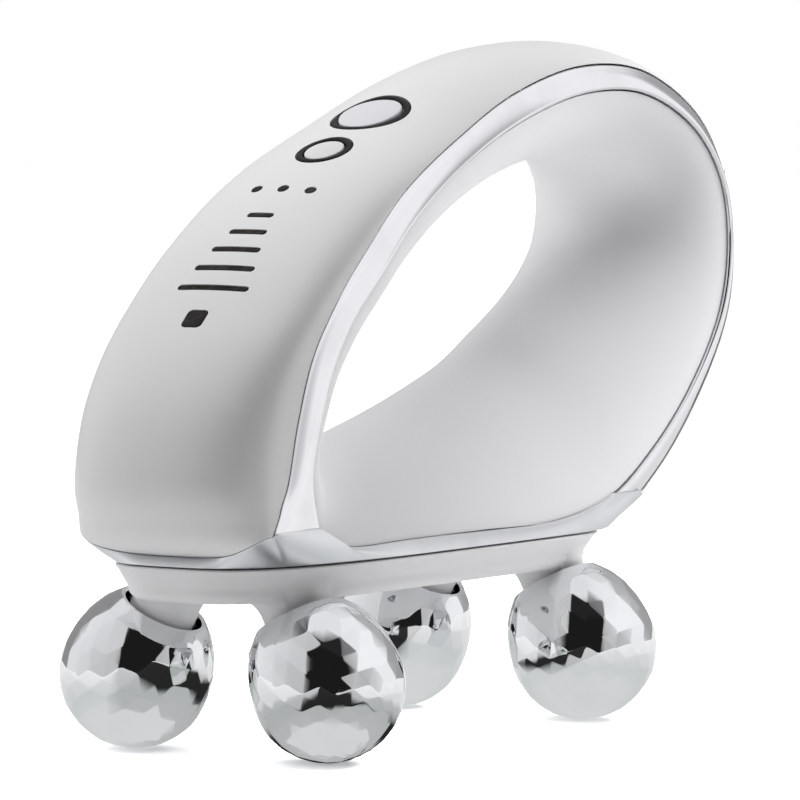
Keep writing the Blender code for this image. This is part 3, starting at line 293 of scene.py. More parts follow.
@dataclass(frozen=True)
class Plated(Finish):
    """Bright plating or bare metal: faint waves, handling smudges and fine rub marks."""

    smudge: float = 0.04
    smudge_scale: float = 90.0
    smudge_tone: float = 0.95
    wave_height: float = 0.004
    wave_scale: float = 160.0
    rub: tuple[float, float, float] = (1.0, 1.0, 1.0)
    rub_height: float = 0.0
    rub_scale: float = 900.0

    def dress(self, sheet: Sheet, shader: bpy.types.Node, place: bpy.types.NodeSocket) -> None:
        """Join smudges to the colour and gloss, and waves and rub marks to the surface."""
        smudges = sheet.ramp(sheet.noise(place, self.smudge_scale, 5.0, 0.4), 0.42, 0.72)
        sheet.feed(shader.inputs["Base Color"],
                   sheet.blend(smudges, self.tone(1.0), self.tone(self.smudge_tone)))
        sheet.feed(shader.inputs["Roughness"], smudges * self.smudge + self.roughness)
        shader.inputs["Metallic"].default_value = 1.0
        height = sheet.noise(place, self.wave_scale, 1.0) * self.wave_height
        if self.rub_height > 0.0:
            stretched = sheet.node("ShaderNodeMapping", None, {
                "Vector": place, "Scale": self.rub})
            marks = sheet.noise(stretched.outputs[0], self.rub_scale, 3.0)
            height = height + marks * self.rub_height
        sheet.emboss(shader, height, 1.0, MM)


@dataclass(frozen=True)
class SolderMask(Finish):
    """Circuit board: raised tracks under a tinted lacquer, with pale bare pads."""

    pad: tuple[float, float, float] = (0.75, 0.70, 0.55)
    pad_scale: float = 260.0
    pad_gloss: float = 0.15
    track_scale: float = 320.0
    track_tone: float = 1.8
    track_height: float = 0.04

    def dress(self, sheet: Sheet, shader: bpy.types.Node, place: bpy.types.NodeSocket) -> None:
        """Join tracks and pads to the colour, gloss and surface."""
        cells = sheet.node("ShaderNodeTexVoronoi", {"distance": "CHEBYCHEV",
                                                    "feature": "DISTANCE_TO_EDGE"},
                           {"Vector": place, "Scale": self.track_scale})
        tracks = sheet.ramp(Value(sheet, cells.outputs[0]), 0.10, 0.05)
        dots = sheet.node("ShaderNodeTexVoronoi", {"distance": "EUCLIDEAN"},
                          {"Vector": place, "Scale": self.pad_scale, "Randomness": 0.6})
        pads = sheet.ramp(Value(sheet, dots.outputs[0]), 0.17, 0.13)
        lacquer = sheet.blend(tracks, self.tone(1.0), self.tone(self.track_tone))
        sheet.feed(shader.inputs["Base Color"], sheet.blend(pads, lacquer, (*self.pad, 1.0)))
        sheet.feed(shader.inputs["Roughness"], pads * -self.pad_gloss + self.roughness)
        sheet.emboss(shader, tracks, 0.6, self.track_height * MM)


@dataclass(frozen=True)
class Wrapped(Finish):
    """Shrink wrap round a cell: soft creases along its length and a glossy film."""

    crease_scale: float = 60.0
    crease_height: float = 0.06
    crease_gloss: float = 0.12

    def dress(self, sheet: Sheet, shader: bpy.types.Node, place: bpy.types.NodeSocket) -> None:
        """Join creases to the colour and surface."""
        creases = sheet.node("ShaderNodeTexWave", {"bands_direction": "X"}, {
            "Vector": place, "Scale": self.crease_scale, "Distortion": 3.0, "Detail": 3.0})
        folds = Value(sheet, creases.outputs["Fac"]) ** 3.0
        sheet.feed(shader.inputs["Base Color"],
                   sheet.blend(folds, self.tone(0.9), self.tone(1.25)))
        sheet.feed(shader.inputs["Roughness"], folds * self.crease_gloss + self.roughness)
        sheet.emboss(shader, folds, 0.5, self.crease_height * MM)


@dataclass(frozen=True)
class Smoked(Finish):
    """Tinted window: a dark clear moulding with a paler diffuser glimpsed in it."""

    glow: tuple[float, float, float] = (0.045, 0.040, 0.036)

    def dress(self, sheet: Sheet, shader: bpy.types.Node, place: bpy.types.NodeSocket) -> None:
        """Join the diffuser's clouding to the colour and a light texture to the gloss."""
        depth = sheet.noise(place, 420.0, 3.0)
        sheet.feed(shader.inputs["Base Color"], sheet.blend(
            sheet.ramp(depth, 0.45, 0.8), self.tone(1.0), (*self.glow, 1.0)))
        sheet.feed(shader.inputs["Roughness"], depth * 0.06 + self.roughness)
        shader.inputs["Specular IOR Level"].default_value = 0.12
        shader.inputs["Coat Weight"].default_value = 0.06
        shader.inputs["Coat Roughness"].default_value = 0.08


WHITE_SHELL = Moulded("white_shell", (0.90, 0.90, 0.905), 0.34, cloud=0.008, grain_height=0.003,
                      coat=0.12)
SATIN_PAN = Moulded("satin_pan", (0.90, 0.90, 0.91), 0.42, cloud=0.010, grain_height=0.006)
SATIN_LINER = Moulded("satin_liner", (0.90, 0.90, 0.915), 0.50, cloud=0.010, grain_scale=1900.0,
                      grain_height=0.010)
BRIGHT_TRIM = Plated("bright_trim", (0.88, 0.88, 0.90), 0.05, smudge=0.03)
BRIGHT_BEZEL = Plated("bright_bezel", (0.88, 0.89, 0.91), 0.40, smudge=0.03)
BRIGHT_ROLLER = Plated("bright_roller", (0.87, 0.88, 0.89), 0.025, smudge=0.02, wave_height=0.008,
                       wave_scale=240.0)
DARK_PLASTIC = Moulded("dark_plastic", (0.012, 0.012, 0.013), 0.34, cloud=0.10, wear=0.08,
                       shine=0.16)
PALE_CAP = Moulded("pale_cap", (0.80, 0.79, 0.83), 0.38, cloud=0.010)
WARM_CAP = Moulded("warm_cap", (0.82, 0.81, 0.81), 0.38, cloud=0.010)
LAMP_TINT = Smoked("lamp_tint", (0.016, 0.014, 0.013), 0.24)
HUB_RESIN = Moulded("hub_resin", (0.10, 0.10, 0.105), 0.50, cloud=0.08, grain_height=0.02)
BUSH_RESIN = Moulded("bush_resin", (0.80, 0.78, 0.72), 0.50, cloud=0.04, grain_height=0.02)
STEEL = Plated("steel", (0.62, 0.62, 0.64), 0.26, smudge=0.10, rub=(1.0, 1.0, 8.0),
               rub_height=0.006)
CIRCUIT_BOARD = SolderMask("circuit_board", (0.02, 0.16, 0.07), 0.42)
CELL_WRAP = Wrapped("cell_wrap", (0.10, 0.22, 0.50), 0.36)
CERAMIC = Moulded("ceramic", (0.70, 0.66, 0.55), 0.55, cloud=0.05, grain_scale=3200.0,
                  grain_height=0.02, wear=0.12)

CARRIED = {
    HUB_RESIN: ("_hub",),
    BUSH_RESIN: ("_bush",),
    STEEL: ("axle_",),
    CIRCUIT_BOARD: ("_board",),
    DARK_PLASTIC: ("_switch",),
    CELL_WRAP: ("battery",),
    CERAMIC: ("transducer",),
}


class Side(Enum):
    """The two sides of the body, by the sign of Y."""

    LEFT = 1
    RIGHT = -1


class End(Enum):
    """The two ends of the base, by the sign of X."""

    FRONT = -1
    REAR = 1


CORNERS = {f"{end.name.lower()}_{side.name.lower()}": (end, side) for end in End for side in Side}


def quarter(steps: int, first: int = 0) -> list[tuple[float, float]]:
    """Return the cosine and sine at each step of a quarter turn, from a first step on."""
    turns = [math.pi / 2 * step / steps for step in range(first, steps + 1)]
    return [(math.cos(turn), math.sin(turn)) for turn in turns]


def rod(radius: float, top: float, foot: float) -> list[tuple[float, float]]:
    """Return the profile of a plain rod from its top to its foot."""
    return [(0.0, top), (radius, top), (radius, foot), (0.0, foot)]


def linked(name: str, data: bpy.types.ID) -> bpy.types.Object:
    """Return a new object of the scene that holds the data."""
    item = bpy.data.objects.new(name, data)
    bpy.context.scene.collection.objects.link(item)
    return item


def stored(name: str, mesh: bmesh.types.BMesh) -> bpy.types.Object:
    """Store a mesh as a new object of the scene and use it up."""
    data = bpy.data.meshes.new(name)
    mesh.to_mesh(data)
    mesh.free()
    return linked(name, data)


def add_into(mesh: bmesh.types.BMesh, part: bmesh.types.BMesh) -> None:
    """Add one mesh to another and use it up."""
    data = bpy.data.meshes.new("part")
    part.to_mesh(data)
    part.free()
    mesh.from_mesh(data)
    bpy.data.meshes.remove(data)


def add_piece(name: str, mesh: bmesh.types.BMesh, finish: Finish, sharp: float = 35.0,
              merge: float = 1e-6) -> bpy.types.Object:
    """Clean a closed mesh and store it as a smooth-shaded piece.

    Args:
        name: Piece name.
        mesh: Closed shells, which are used up.
        finish: Its finish.
        sharp: Angle in degrees past which an edge stays crisp.
        merge: Distance under which points are merged.

    Returns:
        The new object.
    """
    bmesh.ops.remove_doubles(mesh, verts=mesh.verts, dist=merge)
    bmesh.ops.dissolve_degenerate(mesh, edges=mesh.edges, dist=merge)
    bmesh.ops.recalc_face_normals(mesh, faces=mesh.faces)
    item = stored(name, mesh)
    item.data.materials.append(finish.material())
    item.data.shade_smooth()
    item.data.set_sharp_from_angle(angle=math.radians(sharp))
    return item


def add_grid(mesh: bmesh.types.BMesh, points: np.ndarray, close_rows: bool = False,
             close_columns: bool = False, cap_rows: bool = False) -> None:
    """Add a grid of points (rows, columns, 3) to a mesh, wrapped or capped as asked."""
    rows, columns = points.shape[:2]
    verts = [[mesh.verts.new(points[row, column]) for column in range(columns)]
             for row in range(rows)]
    for row in range(rows if close_rows else rows - 1):
        below, above = verts[row], verts[(row + 1) % rows]
        for column in range(columns if close_columns else columns - 1):
            after = (column + 1) % columns
            mesh.faces.new((below[column], below[after], above[after], above[column]))
    if cap_rows:
        for line in (verts[0], verts[-1]):
            centre = mesh.verts.new(sum((vert.co for vert in line), Vector()) / columns)
            for column in range(columns):
                mesh.faces.new((line[column], line[(column + 1) % columns], centre))


def add_wall(mesh: bmesh.types.BMesh, face: np.ndarray, back: np.ndarray) -> None:
    """Add a closed wall between two matching grids of points."""
    loop = np.concatenate((face, back[:, ::-1]), axis=1)
    rows, columns = loop.shape[:2]
    half = columns // 2
    verts = [[mesh.verts.new(loop[row, column]) for column in range(columns)]
             for row in range(rows)]
    for below, above in zip(verts, verts[1:]):
        for column in range(columns):
            after = (column + 1) % columns
            mesh.faces.new((below[column], below[after], above[after], above[column]))
    for line in (verts[0], verts[-1]):
        for column in range(half - 1):
            mesh.faces.new((line[column], line[column + 1], line[columns - 2 - column],
                            line[columns - 1 - column]))


def softened(points: list[tuple[float, float]], reach: float | list[float],
             closed: bool = False, steps: int = 4) -> list[tuple[float, float]]:
    """Return a profile with each corner rounded over the reach, or each with its own."""
    count = len(points)
    reaches = [reach] * count if isinstance(reach, (int, float)) else reach
    made = []
    for index, point in enumerate(points):
        if reaches[index] == 0.0 or (not closed and index in (0, count - 1)):
            made.append(point)
            continue
        corner = Vector(point)
        before = Vector(points[index - 1])
        after = Vector(points[(index + 1) % count])
        come = min(reaches[index], (before - corner).length * 0.49)
        leave = min(reaches[index], (after - corner).length * 0.49)
        start = corner + (before - corner).normalized() * come
        end = corner + (after - corner).normalized() * leave
        for step in range(steps + 1):
            share = step / steps
            place = (start * (1 - share) ** 2 + corner * 2 * share * (1 - share)
                     + end * share ** 2)
            made.append((place.x, place.y))
    return made


def turned(profile: list[tuple[float, float]], matrix: Matrix, steps: int,
           ring: bool = False) -> bmesh.types.BMesh:
    """Turn a profile of (radius, height) points about Z and place it by a matrix.

    Args:
        profile: Points down the outer side; a ring's profile goes on up its bore.
        matrix: Place of the piece.
        steps: Facets round the axis.
        ring: True when the profile is a closed loop clear of the axis.

    Returns:
        The closed mesh.
    """
    mesh = bmesh.new()
    angles = np.arange(steps) * (math.tau / steps)
    rings = np.array([[(radius * math.cos(angle), radius * math.sin(angle), height)
                       for radius, height in profile] for angle in angles])
    add_grid(mesh, rings, close_rows=True, close_columns=ring)
    bmesh.ops.remove_doubles(mesh, verts=mesh.verts, dist=1e-7)
    mesh.transform(matrix)
    return mesh


def cut_away(item: bpy.types.Object, cutter: bmesh.types.BMesh, sharp: float = 35.0) -> None:
    """Cut a closed mesh out of a piece and apply it."""
    bmesh.ops.recalc_face_normals(cutter, faces=cutter.faces)
    tool = stored("cutter", cutter)
    step = item.modifiers.new("cut", "BOOLEAN")
    step.operation = "DIFFERENCE"
    step.solver = "EXACT"
    step.object = tool
    apply_all(item)
    bpy.data.objects.remove(tool)
    item.data.set_sharp_from_angle(angle=math.radians(sharp))


def apply_all(item: bpy.types.Object) -> None:
    """Turn a piece's evaluated result into its plain mesh and remove its modifiers."""
    graph = bpy.context.evaluated_depsgraph_get()
    graph.update()
    made = bpy.data.meshes.new_from_object(item.evaluated_get(graph))
    item.modifiers.clear()
    old = item.data
    item.data = made
    bpy.data.meshes.remove(old)
    made.name = item.name


def start_group(name: str, **inputs: tuple[str, ...]) -> tuple[
        bpy.types.NodeTree, Sheet, bpy.types.NodeOutputs]:
    """Start a geometry node tree that takes a shape and named inputs.

    Args:
        name: Name of the tree.
        inputs: Names of the inputs of each kind, such as Float.

    Returns:
        The tree, its sheet and its inputs by name, with the geometry as Shape.
    """
    tree = bpy.data.node_groups.new(name, "GeometryNodeTree")
    for kind, keys in {"Geometry": ("Shape",), **inputs}.items():
        for key in keys:
            tree.interface.new_socket(key, in_out="INPUT", socket_type=f"NodeSocket{kind}")
    tree.interface.new_socket("Shape", in_out="OUTPUT", socket_type="NodeSocketGeometry")
    sheet = Sheet(tree)
    return tree, sheet, sheet.node("NodeGroupInput").outputs


def end_group(sheet: Sheet, shape: bpy.types.NodeSocket, finish: bpy.types.NodeSocket) -> None:
    """End a geometry node tree in real geometry with its finish."""
    real = sheet.node("GeometryNodeRealizeInstances", None, {0: shape})
    dressed = sheet.node("GeometryNodeSetMaterial", None, {
        "Geometry": real.outputs[0], "Material": finish})
    sheet.node("NodeGroupOutput", None, {0: dressed.outputs[0]})


def run_group(item: bpy.types.Object, tree: bpy.types.NodeTree,
              values: dict[str, object]) -> None:
    """Run a geometry node tree on a piece, with its named values, and apply the result."""
    step = item.modifiers.new(tree.name, "NODES")
    step.node_group = tree
    for socket in tree.interface.items_tree:
        if socket.in_out == "INPUT" and socket.name in values:
            step[socket.identifier] = values[socket.name]
    apply_all(item)


def crowded(half: int) -> np.ndarray:
    """Return places from -1 to 1 that crowd towards both edges."""
    return np.sin(np.arange(-half, half + 1) / half * (math.pi / 2))


class Guides:
    """The guide curves round the ring, which the solids follow too."""

    length = 0.1384
    height = 0.0770
    floor = 0.0367
    half_width = 0.0203
    cover_half_width = 0.0197
    gap = 0.0003
    joint_centre = 0.0358
    joint_side = 0.0405
    joint_half_width = 0.0206
    joint_roundness = 3.7
    narrowing = 0.0046
    narrowest = 9.6
    narrow_ahead = 2.2
    narrow_behind = 2.6
    narrow_shift = (1.515, -0.111)
    panel_stations = (2, 11)
    rear_stations = (14, 18)
    foot_stations = (17.2, 24.2)
    foot_samples = 240
    crest_steps = 16
    crown_powers = (1.9, 0.3)
    edge_powers = (1.0, 3.1)

    def __init__(self) -> None:
        """Work out the spans of the closed centripetal spline through the stations."""
        start = np.array(RING_SHARES)
        before, end, after = (np.roll(start, shift, axis=0) for shift in (1, -1, -2))
        first, middle, last = (
            np.maximum(np.linalg.norm(two - one, axis=1), 1e-6)[:, None] ** 0.5
            for one, two in ((before, start), (start, end), (end, after)))
        leave = middle * ((end - start) / middle - (end - before) / (first + middle)
                          + (start - before) / first)
        arrive = middle * ((after - end) / last - (after - start) / (middle + last)
                           + (end - start) / middle)
        self.spans = np.stack((2 * start - 2 * end + leave + arrive,
                               -3 * start + 3 * end - 2 * leave - arrive, leave, start), axis=1)
        self.count = len(start)
        crest = self.xz(np.arange(2 * self.count) / 2, 6, centred=False)[..., 0]
        self.shift = -(crest.min() + crest.max()) / 2

    def rows(self, places: np.ndarray) -> np.ndarray:
        """Return the guides' values at station places of any shape."""
        whole = np.floor(places).astype(int)
        share = (places - whole)[..., None]
        span = self.spans[whole % self.count]
        return ((span[..., 0, :] * share + span[..., 1, :]) * share
                + span[..., 2, :]) * share + span[..., 3, :]

    def xz(self, places: np.ndarray, column: int, centred: bool = True) -> np.ndarray:
        """Return one guide's places in the XZ plane, in the frame of the solids."""
        shares = self.rows(np.asarray(places, dtype=float))[..., column:column + 2]
        shift = self.shift if centred else 0.0
        return np.stack((shares[..., 0] * self.length + shift,
                         self.floor + shares[..., 1] * self.height), axis=-1)

    def drawn_in(self, places: np.ndarray) -> np.ndarray:
        """Return how far each side of the ring draws in towards its top."""
        away = np.asarray(places, dtype=float) - self.narrowest
        reach = np.where(away < 0.0, self.narrow_ahead, self.narrow_behind)
        return self.narrowing * np.exp(-(away / reach) ** 2)

    def breadth(self, places: np.ndarray) -> np.ndarray:
        """Return the ring's width at a station as a share of its width at the foot."""
        return 1.0 - self.drawn_in(places) / self.half_width

    def rim(self, places: np.ndarray, column: int) -> np.ndarray:
        """Return a rim's places, moved along with the sides where they draw in."""
        return (self.xz(places, column)
                + self.drawn_in(places)[..., None] * np.array(self.narrow_shift))

    def inner_rim(self, places: np.ndarray) -> np.ndarray:
        """Return the trim's inner edge."""
        return self.rim(places, 0)

    def liner_crest(self, places: np.ndarray) -> np.ndarray:
        """Return the liner's crest."""
        return self.xz(places, 2)

    def outer_rim(self, places: np.ndarray) -> np.ndarray:
        """Return the trim's outer edge."""
        return self.rim(places, 4)

    def cover_crest(self, places: np.ndarray) -> np.ndarray:
        """Return the cover's crest."""
        return self.xz(places, 6)

    def joint(self, lateral: np.ndarray) -> np.ndarray:
        """Return the height of the joint between cover and bezel across the body."""
        share = np.abs(lateral) / self.joint_half_width
        return self.joint_centre + (self.joint_side - self.joint_centre) * (
            share ** self.joint_roundness)

    def rim_height(self, along: np.ndarray) -> np.ndarray:
        """Return the height of the liner's lower edge at places along the body."""
        low = self.inner_rim(np.linspace(*self.foot_stations, self.foot_samples))[::-1]
        return np.interp(along, low[:, 0], low[:, 1])

    def section(self, places: np.ndarray) -> tuple[np.ndarray, np.ndarray]:
        """Return the powers that say how flat a cover's crown is, and how square its sides."""
        square = self.rows(places)[..., 8]
        crown, edge = (least + more * square for least, more in (
            self.crown_powers, self.edge_powers))
        return crown, edge

    def crest_place(self, share: float, steps: int) -> float:
        """Return the station place on the panel's crest at a share of the ring's length."""
        first, last = self.panel_stations
        places = np.arange(first * steps, last * steps) / steps
        along = self.cover_crest(places)[:, 0] - self.shift
        return float(places[np.argmin(np.abs(along - share * self.length))])

    def sag(self, share: float, across: float) -> float:
        """Return how far the crown falls below the panel's crest at a place across it."""
        place = np.array([self.crest_place(share, 512)])
        flat, edge = self.section(place)
        side = abs(across) / (self.cover_half_width * self.breadth(place))
        rise = (1.0 - side ** flat) ** (1.0 / edge)
        tall = np.linalg.norm(self.cover_crest(place) - self.outer_rim(place), axis=-1)
        return float((tall * (1.0 - rise))[0])

    def slope(self, place: float) -> Vector:
        """Return the direction of the cover's crest at a station place, towards station 0."""
        reach = 1 / self.crest_steps
        run = self.cover_crest(place - reach) - self.cover_crest(place + reach)
        return Vector((run[0], 0.0, run[1])).normalized()

    def framed(self, place: float, *axes: Vector) -> Matrix:
        """Return the frame at a station place on the cover's crest, with three axes."""
        crest = self.cover_crest(place)
        return (Matrix.Translation((crest[0], 0.0, crest[1]))
                @ Matrix(axes).transposed().to_4x4())

    def crest_frame(self, share: float, steps: int = crest_steps) -> Matrix:
        """Return a frame on the panel's crest: Z out of it, Y across, X down the slope."""
        place = self.crest_place(share, steps)
        down, across = self.slope(place), Vector((0.0, -1.0, 0.0))
        return self.framed(place, down, across, down.cross(across))

    def jack_frame(self, height: float) -> Matrix:
        """Return a frame on the rear cover's crest at a height: Z out of it, X across."""
        first, last = (station * self.crest_steps for station in self.rear_stations)
        places = np.arange(first, last) / self.crest_steps
        place = places[np.argmin(np.abs(self.cover_crest(places)[:, 1] - height))]
        up, across = self.slope(place), Vector((0.0, 1.0, 0.0))
        return self.framed(place, across, up, across.cross(up))


@dataclass
class Housing:
    """The ring's skins: two white covers, the liner and the two side trims."""

    guides: Guides
    per_station: int = 8
    cover_half_columns: int = 26
    liner_half_columns: int = 22
    foot_rows: int = 20
    cover_wall: float = 0.0018
    liner_wall: float = 0.0015
    liner_fullness: float = 1.55
    first_station: float = -0.5
    split_station: float = 13.0
    last_station: float = 18.5
    split_gap: float = 0.018
    trim_back: float = 0.0167
    trim_face: float = 0.0208
    trim_seat: float = 0.0200
    trim_drop: float = 0.0010
    trim_corner: float = 0.0005
    trim_edge: float = 0.0004
    trim_flat_share: float = 0.15
    trim_fall_power: float = 1.7
    trim_face_steps: int = 10
    foot_reach: float = 2.5
    foot_samples: int = 400
    feet: list[np.ndarray] = field(default_factory=list)

    def cover_points(self, places: np.ndarray, sides: np.ndarray, depth: float) -> np.ndarray:
        """Return points of a cover's face, or of its back at a depth.

        Args:
            places: Station places, as (rows, columns).
            sides: Column places from -1 to 1, evened out along each section.
            depth: How far under the face.

        Returns:
            Points as (rows, columns, 3).
        """
        flat, edge = self.guides.section(places)
        turn = sides * (math.pi / 2)
        across = np.sign(sides) * np.abs(np.sin(turn)) ** (2.0 / flat)
        rise = np.maximum(1.0 - np.abs(across) ** flat, 0.0) ** (1.0 / edge)
        rim = self.guides.outer_rim(places)
        crown = self.guides.cover_crest(places) - rim
        tall = np.linalg.norm(crown, axis=-1)
        scale = np.maximum(rise * (1.0 - depth / np.maximum(tall, 2 * depth + 1e-9)), 0.0)
        at = rim + crown * scale[..., None]
        width = self.guides.cover_half_width * self.guides.breadth(places) - depth
        return np.stack((at[..., 0], across * width, at[..., 1]), axis=-1)

    def trimmed(self, first: float, last: float, columns: int, front_foot: bool, rear_foot: bool,
                surface: Callable[[np.ndarray], np.ndarray]) -> np.ndarray:
        """Return station places whose ends follow the joint, column by column.

        Args:
            first: First station.
            last: Last station.
            columns: Number of columns.
            front_foot: True to end on the joint at the first station.
            rear_foot: True to end on the joint at the last station.
            surface: Gives the points for station places of shape (rows, columns).

        Returns:
            Station places as (rows, columns).
        """
        count = round((last - first) * self.per_station) + 1
        even = np.linspace(first, last, count)
        places = np.repeat(even[:, None], columns, axis=1)
        ramp = np.arange(self.foot_rows + 1)[:, None] / self.foot_rows
        for at_foot, end, reach in ((front_foot, first, self.foot_reach),
                                    (rear_foot, last, -self.foot_reach)):
            if not at_foot:
                continue
            span = np.linspace(end, end + reach, self.foot_samples)
            points = surface(np.repeat(span[:, None], columns, axis=1))
            above = points[..., 2] - self.guides.joint(points[..., 1])
            start = np.array([np.interp(0.0, np.maximum.accumulate(above[:, column]), span)
                              for column in range(columns)])
            if span[0] < span[-1]:
                stop = even[self.foot_rows]
                places[:self.foot_rows + 1] = start + (stop - start) * ramp
            else:
                stop = even[-1 - self.foot_rows]
                places[count - 1 - self.foot_rows:] = (start + (stop - start) * ramp)[::-1]
        return places

    def cover(self, name: str, first: float, last: float, front_foot: bool,
              rear_foot: bool) -> bpy.types.Object:
        """Build one white cover with its wall, and keep the line of its foot."""
        half = self.cover_half_columns
        sides = np.arange(-half, half + 1) / half
        columns = len(sides)
        places = self.trimmed(first, last, columns, front_foot, rear_foot,
                              lambda at: self.cover_points(at, sides, 0.0))
        face = self.cover_points(places, sides, 0.0)
        self.feet.append(face[0 if front_foot else -1])
        mesh = bmesh.new()
        add_wall(mesh, face, self.cover_points(places, sides, self.cover_wall))
        return add_piece(name, mesh, WHITE_SHELL, sharp=50.0)

    def liner(self) -> bpy.types.Object:
        """Build the liner that surrounds the fingers."""
        across = crowded(self.liner_half_columns)
        count = self.guides.count * self.per_station
        places = np.repeat((np.arange(count) / self.per_station)[:, None], len(across), axis=1)
        layers = []
        for depth in (0.0, self.liner_wall):
            rim = self.guides.inner_rim(places)
            crown = self.guides.liner_crest(places) - rim
            crown = crown * (1.0 - depth / np.linalg.norm(crown, axis=-1))[..., None]
            rise = np.maximum(1.0 - across ** 2, 0.0) ** (1.0 / self.liner_fullness)
            at = rim + crown * rise[None, :, None]
            width = (self.guides.half_width * self.guides.breadth(places)
                     - self.guides.gap - depth)
            layers.append(np.stack((at[..., 0], across * width, at[..., 1]), axis=-1))
        mesh = bmesh.new()
        add_grid(mesh, np.concatenate((layers[0], layers[1][:, ::-1]), axis=1),
                 close_rows=True, close_columns=True)
        return add_piece("finger_liner", mesh, SATIN_LINER, sharp=60.0)

    def trim_outline(self) -> np.ndarray:
        """Return the trim's section as (offset, share of the width, lateral place)."""
        gap, corner, edge = self.guides.gap, self.trim_corner, self.trim_edge
        made = [(gap, 0.0, self.trim_back)]
        made += [(gap + corner * (1 - cosine), 0.0, self.trim_face - corner * (1 - sine))
                 for cosine, sine in quarter(4)]
        inner, outer = gap + corner, gap + edge
        for step in range(1, self.trim_face_steps + 1):
            share = step / self.trim_face_steps
            fall = max(share - self.trim_flat_share, 0.0) / (1.0 - self.trim_flat_share)
            made.append((inner - (inner + outer) * share, share,
                         self.trim_face - self.trim_drop * fall ** self.trim_fall_power))
        made += [(edge * sine - outer, 1.0,
                  self.trim_face - self.trim_drop - edge * (1 - cosine))
                 for cosine, sine in quarter(4, 1)]
        shelf = -self.cover_wall - gap
        made += [(shelf, 1.0, self.trim_seat), (shelf, 1.0, self.trim_back)]
        return np.array(made)

    def trim(self, side: Side) -> bpy.types.Object:
        """Build one plated side trim."""
        outline = self.trim_outline()

        def surface(places: np.ndarray) -> np.ndarray:
            """Return the trim's points for station places of shape (rows, columns)."""
            inner = self.guides.inner_rim(places)
            outward = self.guides.outer_rim(places) - inner
            width = np.linalg.norm(outward, axis=-1)
            radial = outline[:, 0] + outline[:, 1] * width
            at = inner + outward * (radial / width)[..., None]
            lateral = outline[:, 2] * side.value * self.guides.breadth(places)
            return np.stack((at[..., 0], lateral, at[..., 1]), axis=-1)

        places = self.trimmed(self.first_station, self.last_station, len(outline), True, True,
                              surface)
        mesh = bmesh.new()
        add_grid(mesh, surface(places), close_columns=True, cap_rows=True)
        return add_piece(f"bright_trim_{side.name.lower()}", mesh, BRIGHT_TRIM, sharp=40.0)

    def build(self) -> dict[str, bpy.types.Object]:
        """Build every skin, keyed by the solid that it stands for."""
        return {
            "front_cover": self.cover("front_shell", self.first_station, self.split_station,
                                      True, False),
            "rear_cover": self.cover("rear_shell", self.split_station + self.split_gap,
                                     self.last_station, False, True),
            "inner_liner": self.liner(),
            "side_trim_left": self.trim(Side.LEFT),
            "side_trim_right": self.trim(Side.RIGHT),
        }


@dataclass(frozen=True)
class Plan:
    """A rounded outline seen from above, with unlike ends, at one level."""

    front: float
    rear: float
    half_width: float
    level: float
    front_roundness: float = 3.25
    rear_roundness: float = 6.0

    def outline(self, angles: np.ndarray, inset: float = 0.0) -> np.ndarray:
        """Return the outline's (x, y) points about the middle of the wheelbase."""
        cosine, sine = np.cos(angles), np.sin(angles)
        ahead = cosine < 0.0
        power = 2.0 / np.where(ahead, self.front_roundness, self.rear_roundness)
        reach = np.where(ahead, self.front, self.rear) - inset
        return np.stack((np.sign(cosine) * np.abs(cosine) ** power * reach,
                         np.sign(sine) * np.abs(sine) ** power * (self.half_width - inset)),
                        axis=-1)

    def towards(self, other: "Plan", share: float) -> "Plan":
        """Return the plan part of the way towards another."""
        return Plan(*(mine + (theirs - mine) * share for mine, theirs in (
            (self.front, other.front), (self.rear, other.rear),
            (self.half_width, other.half_width), (self.level, other.level),
            (self.front_roundness, other.front_roundness),
            (self.rear_roundness, other.rear_roundness))))


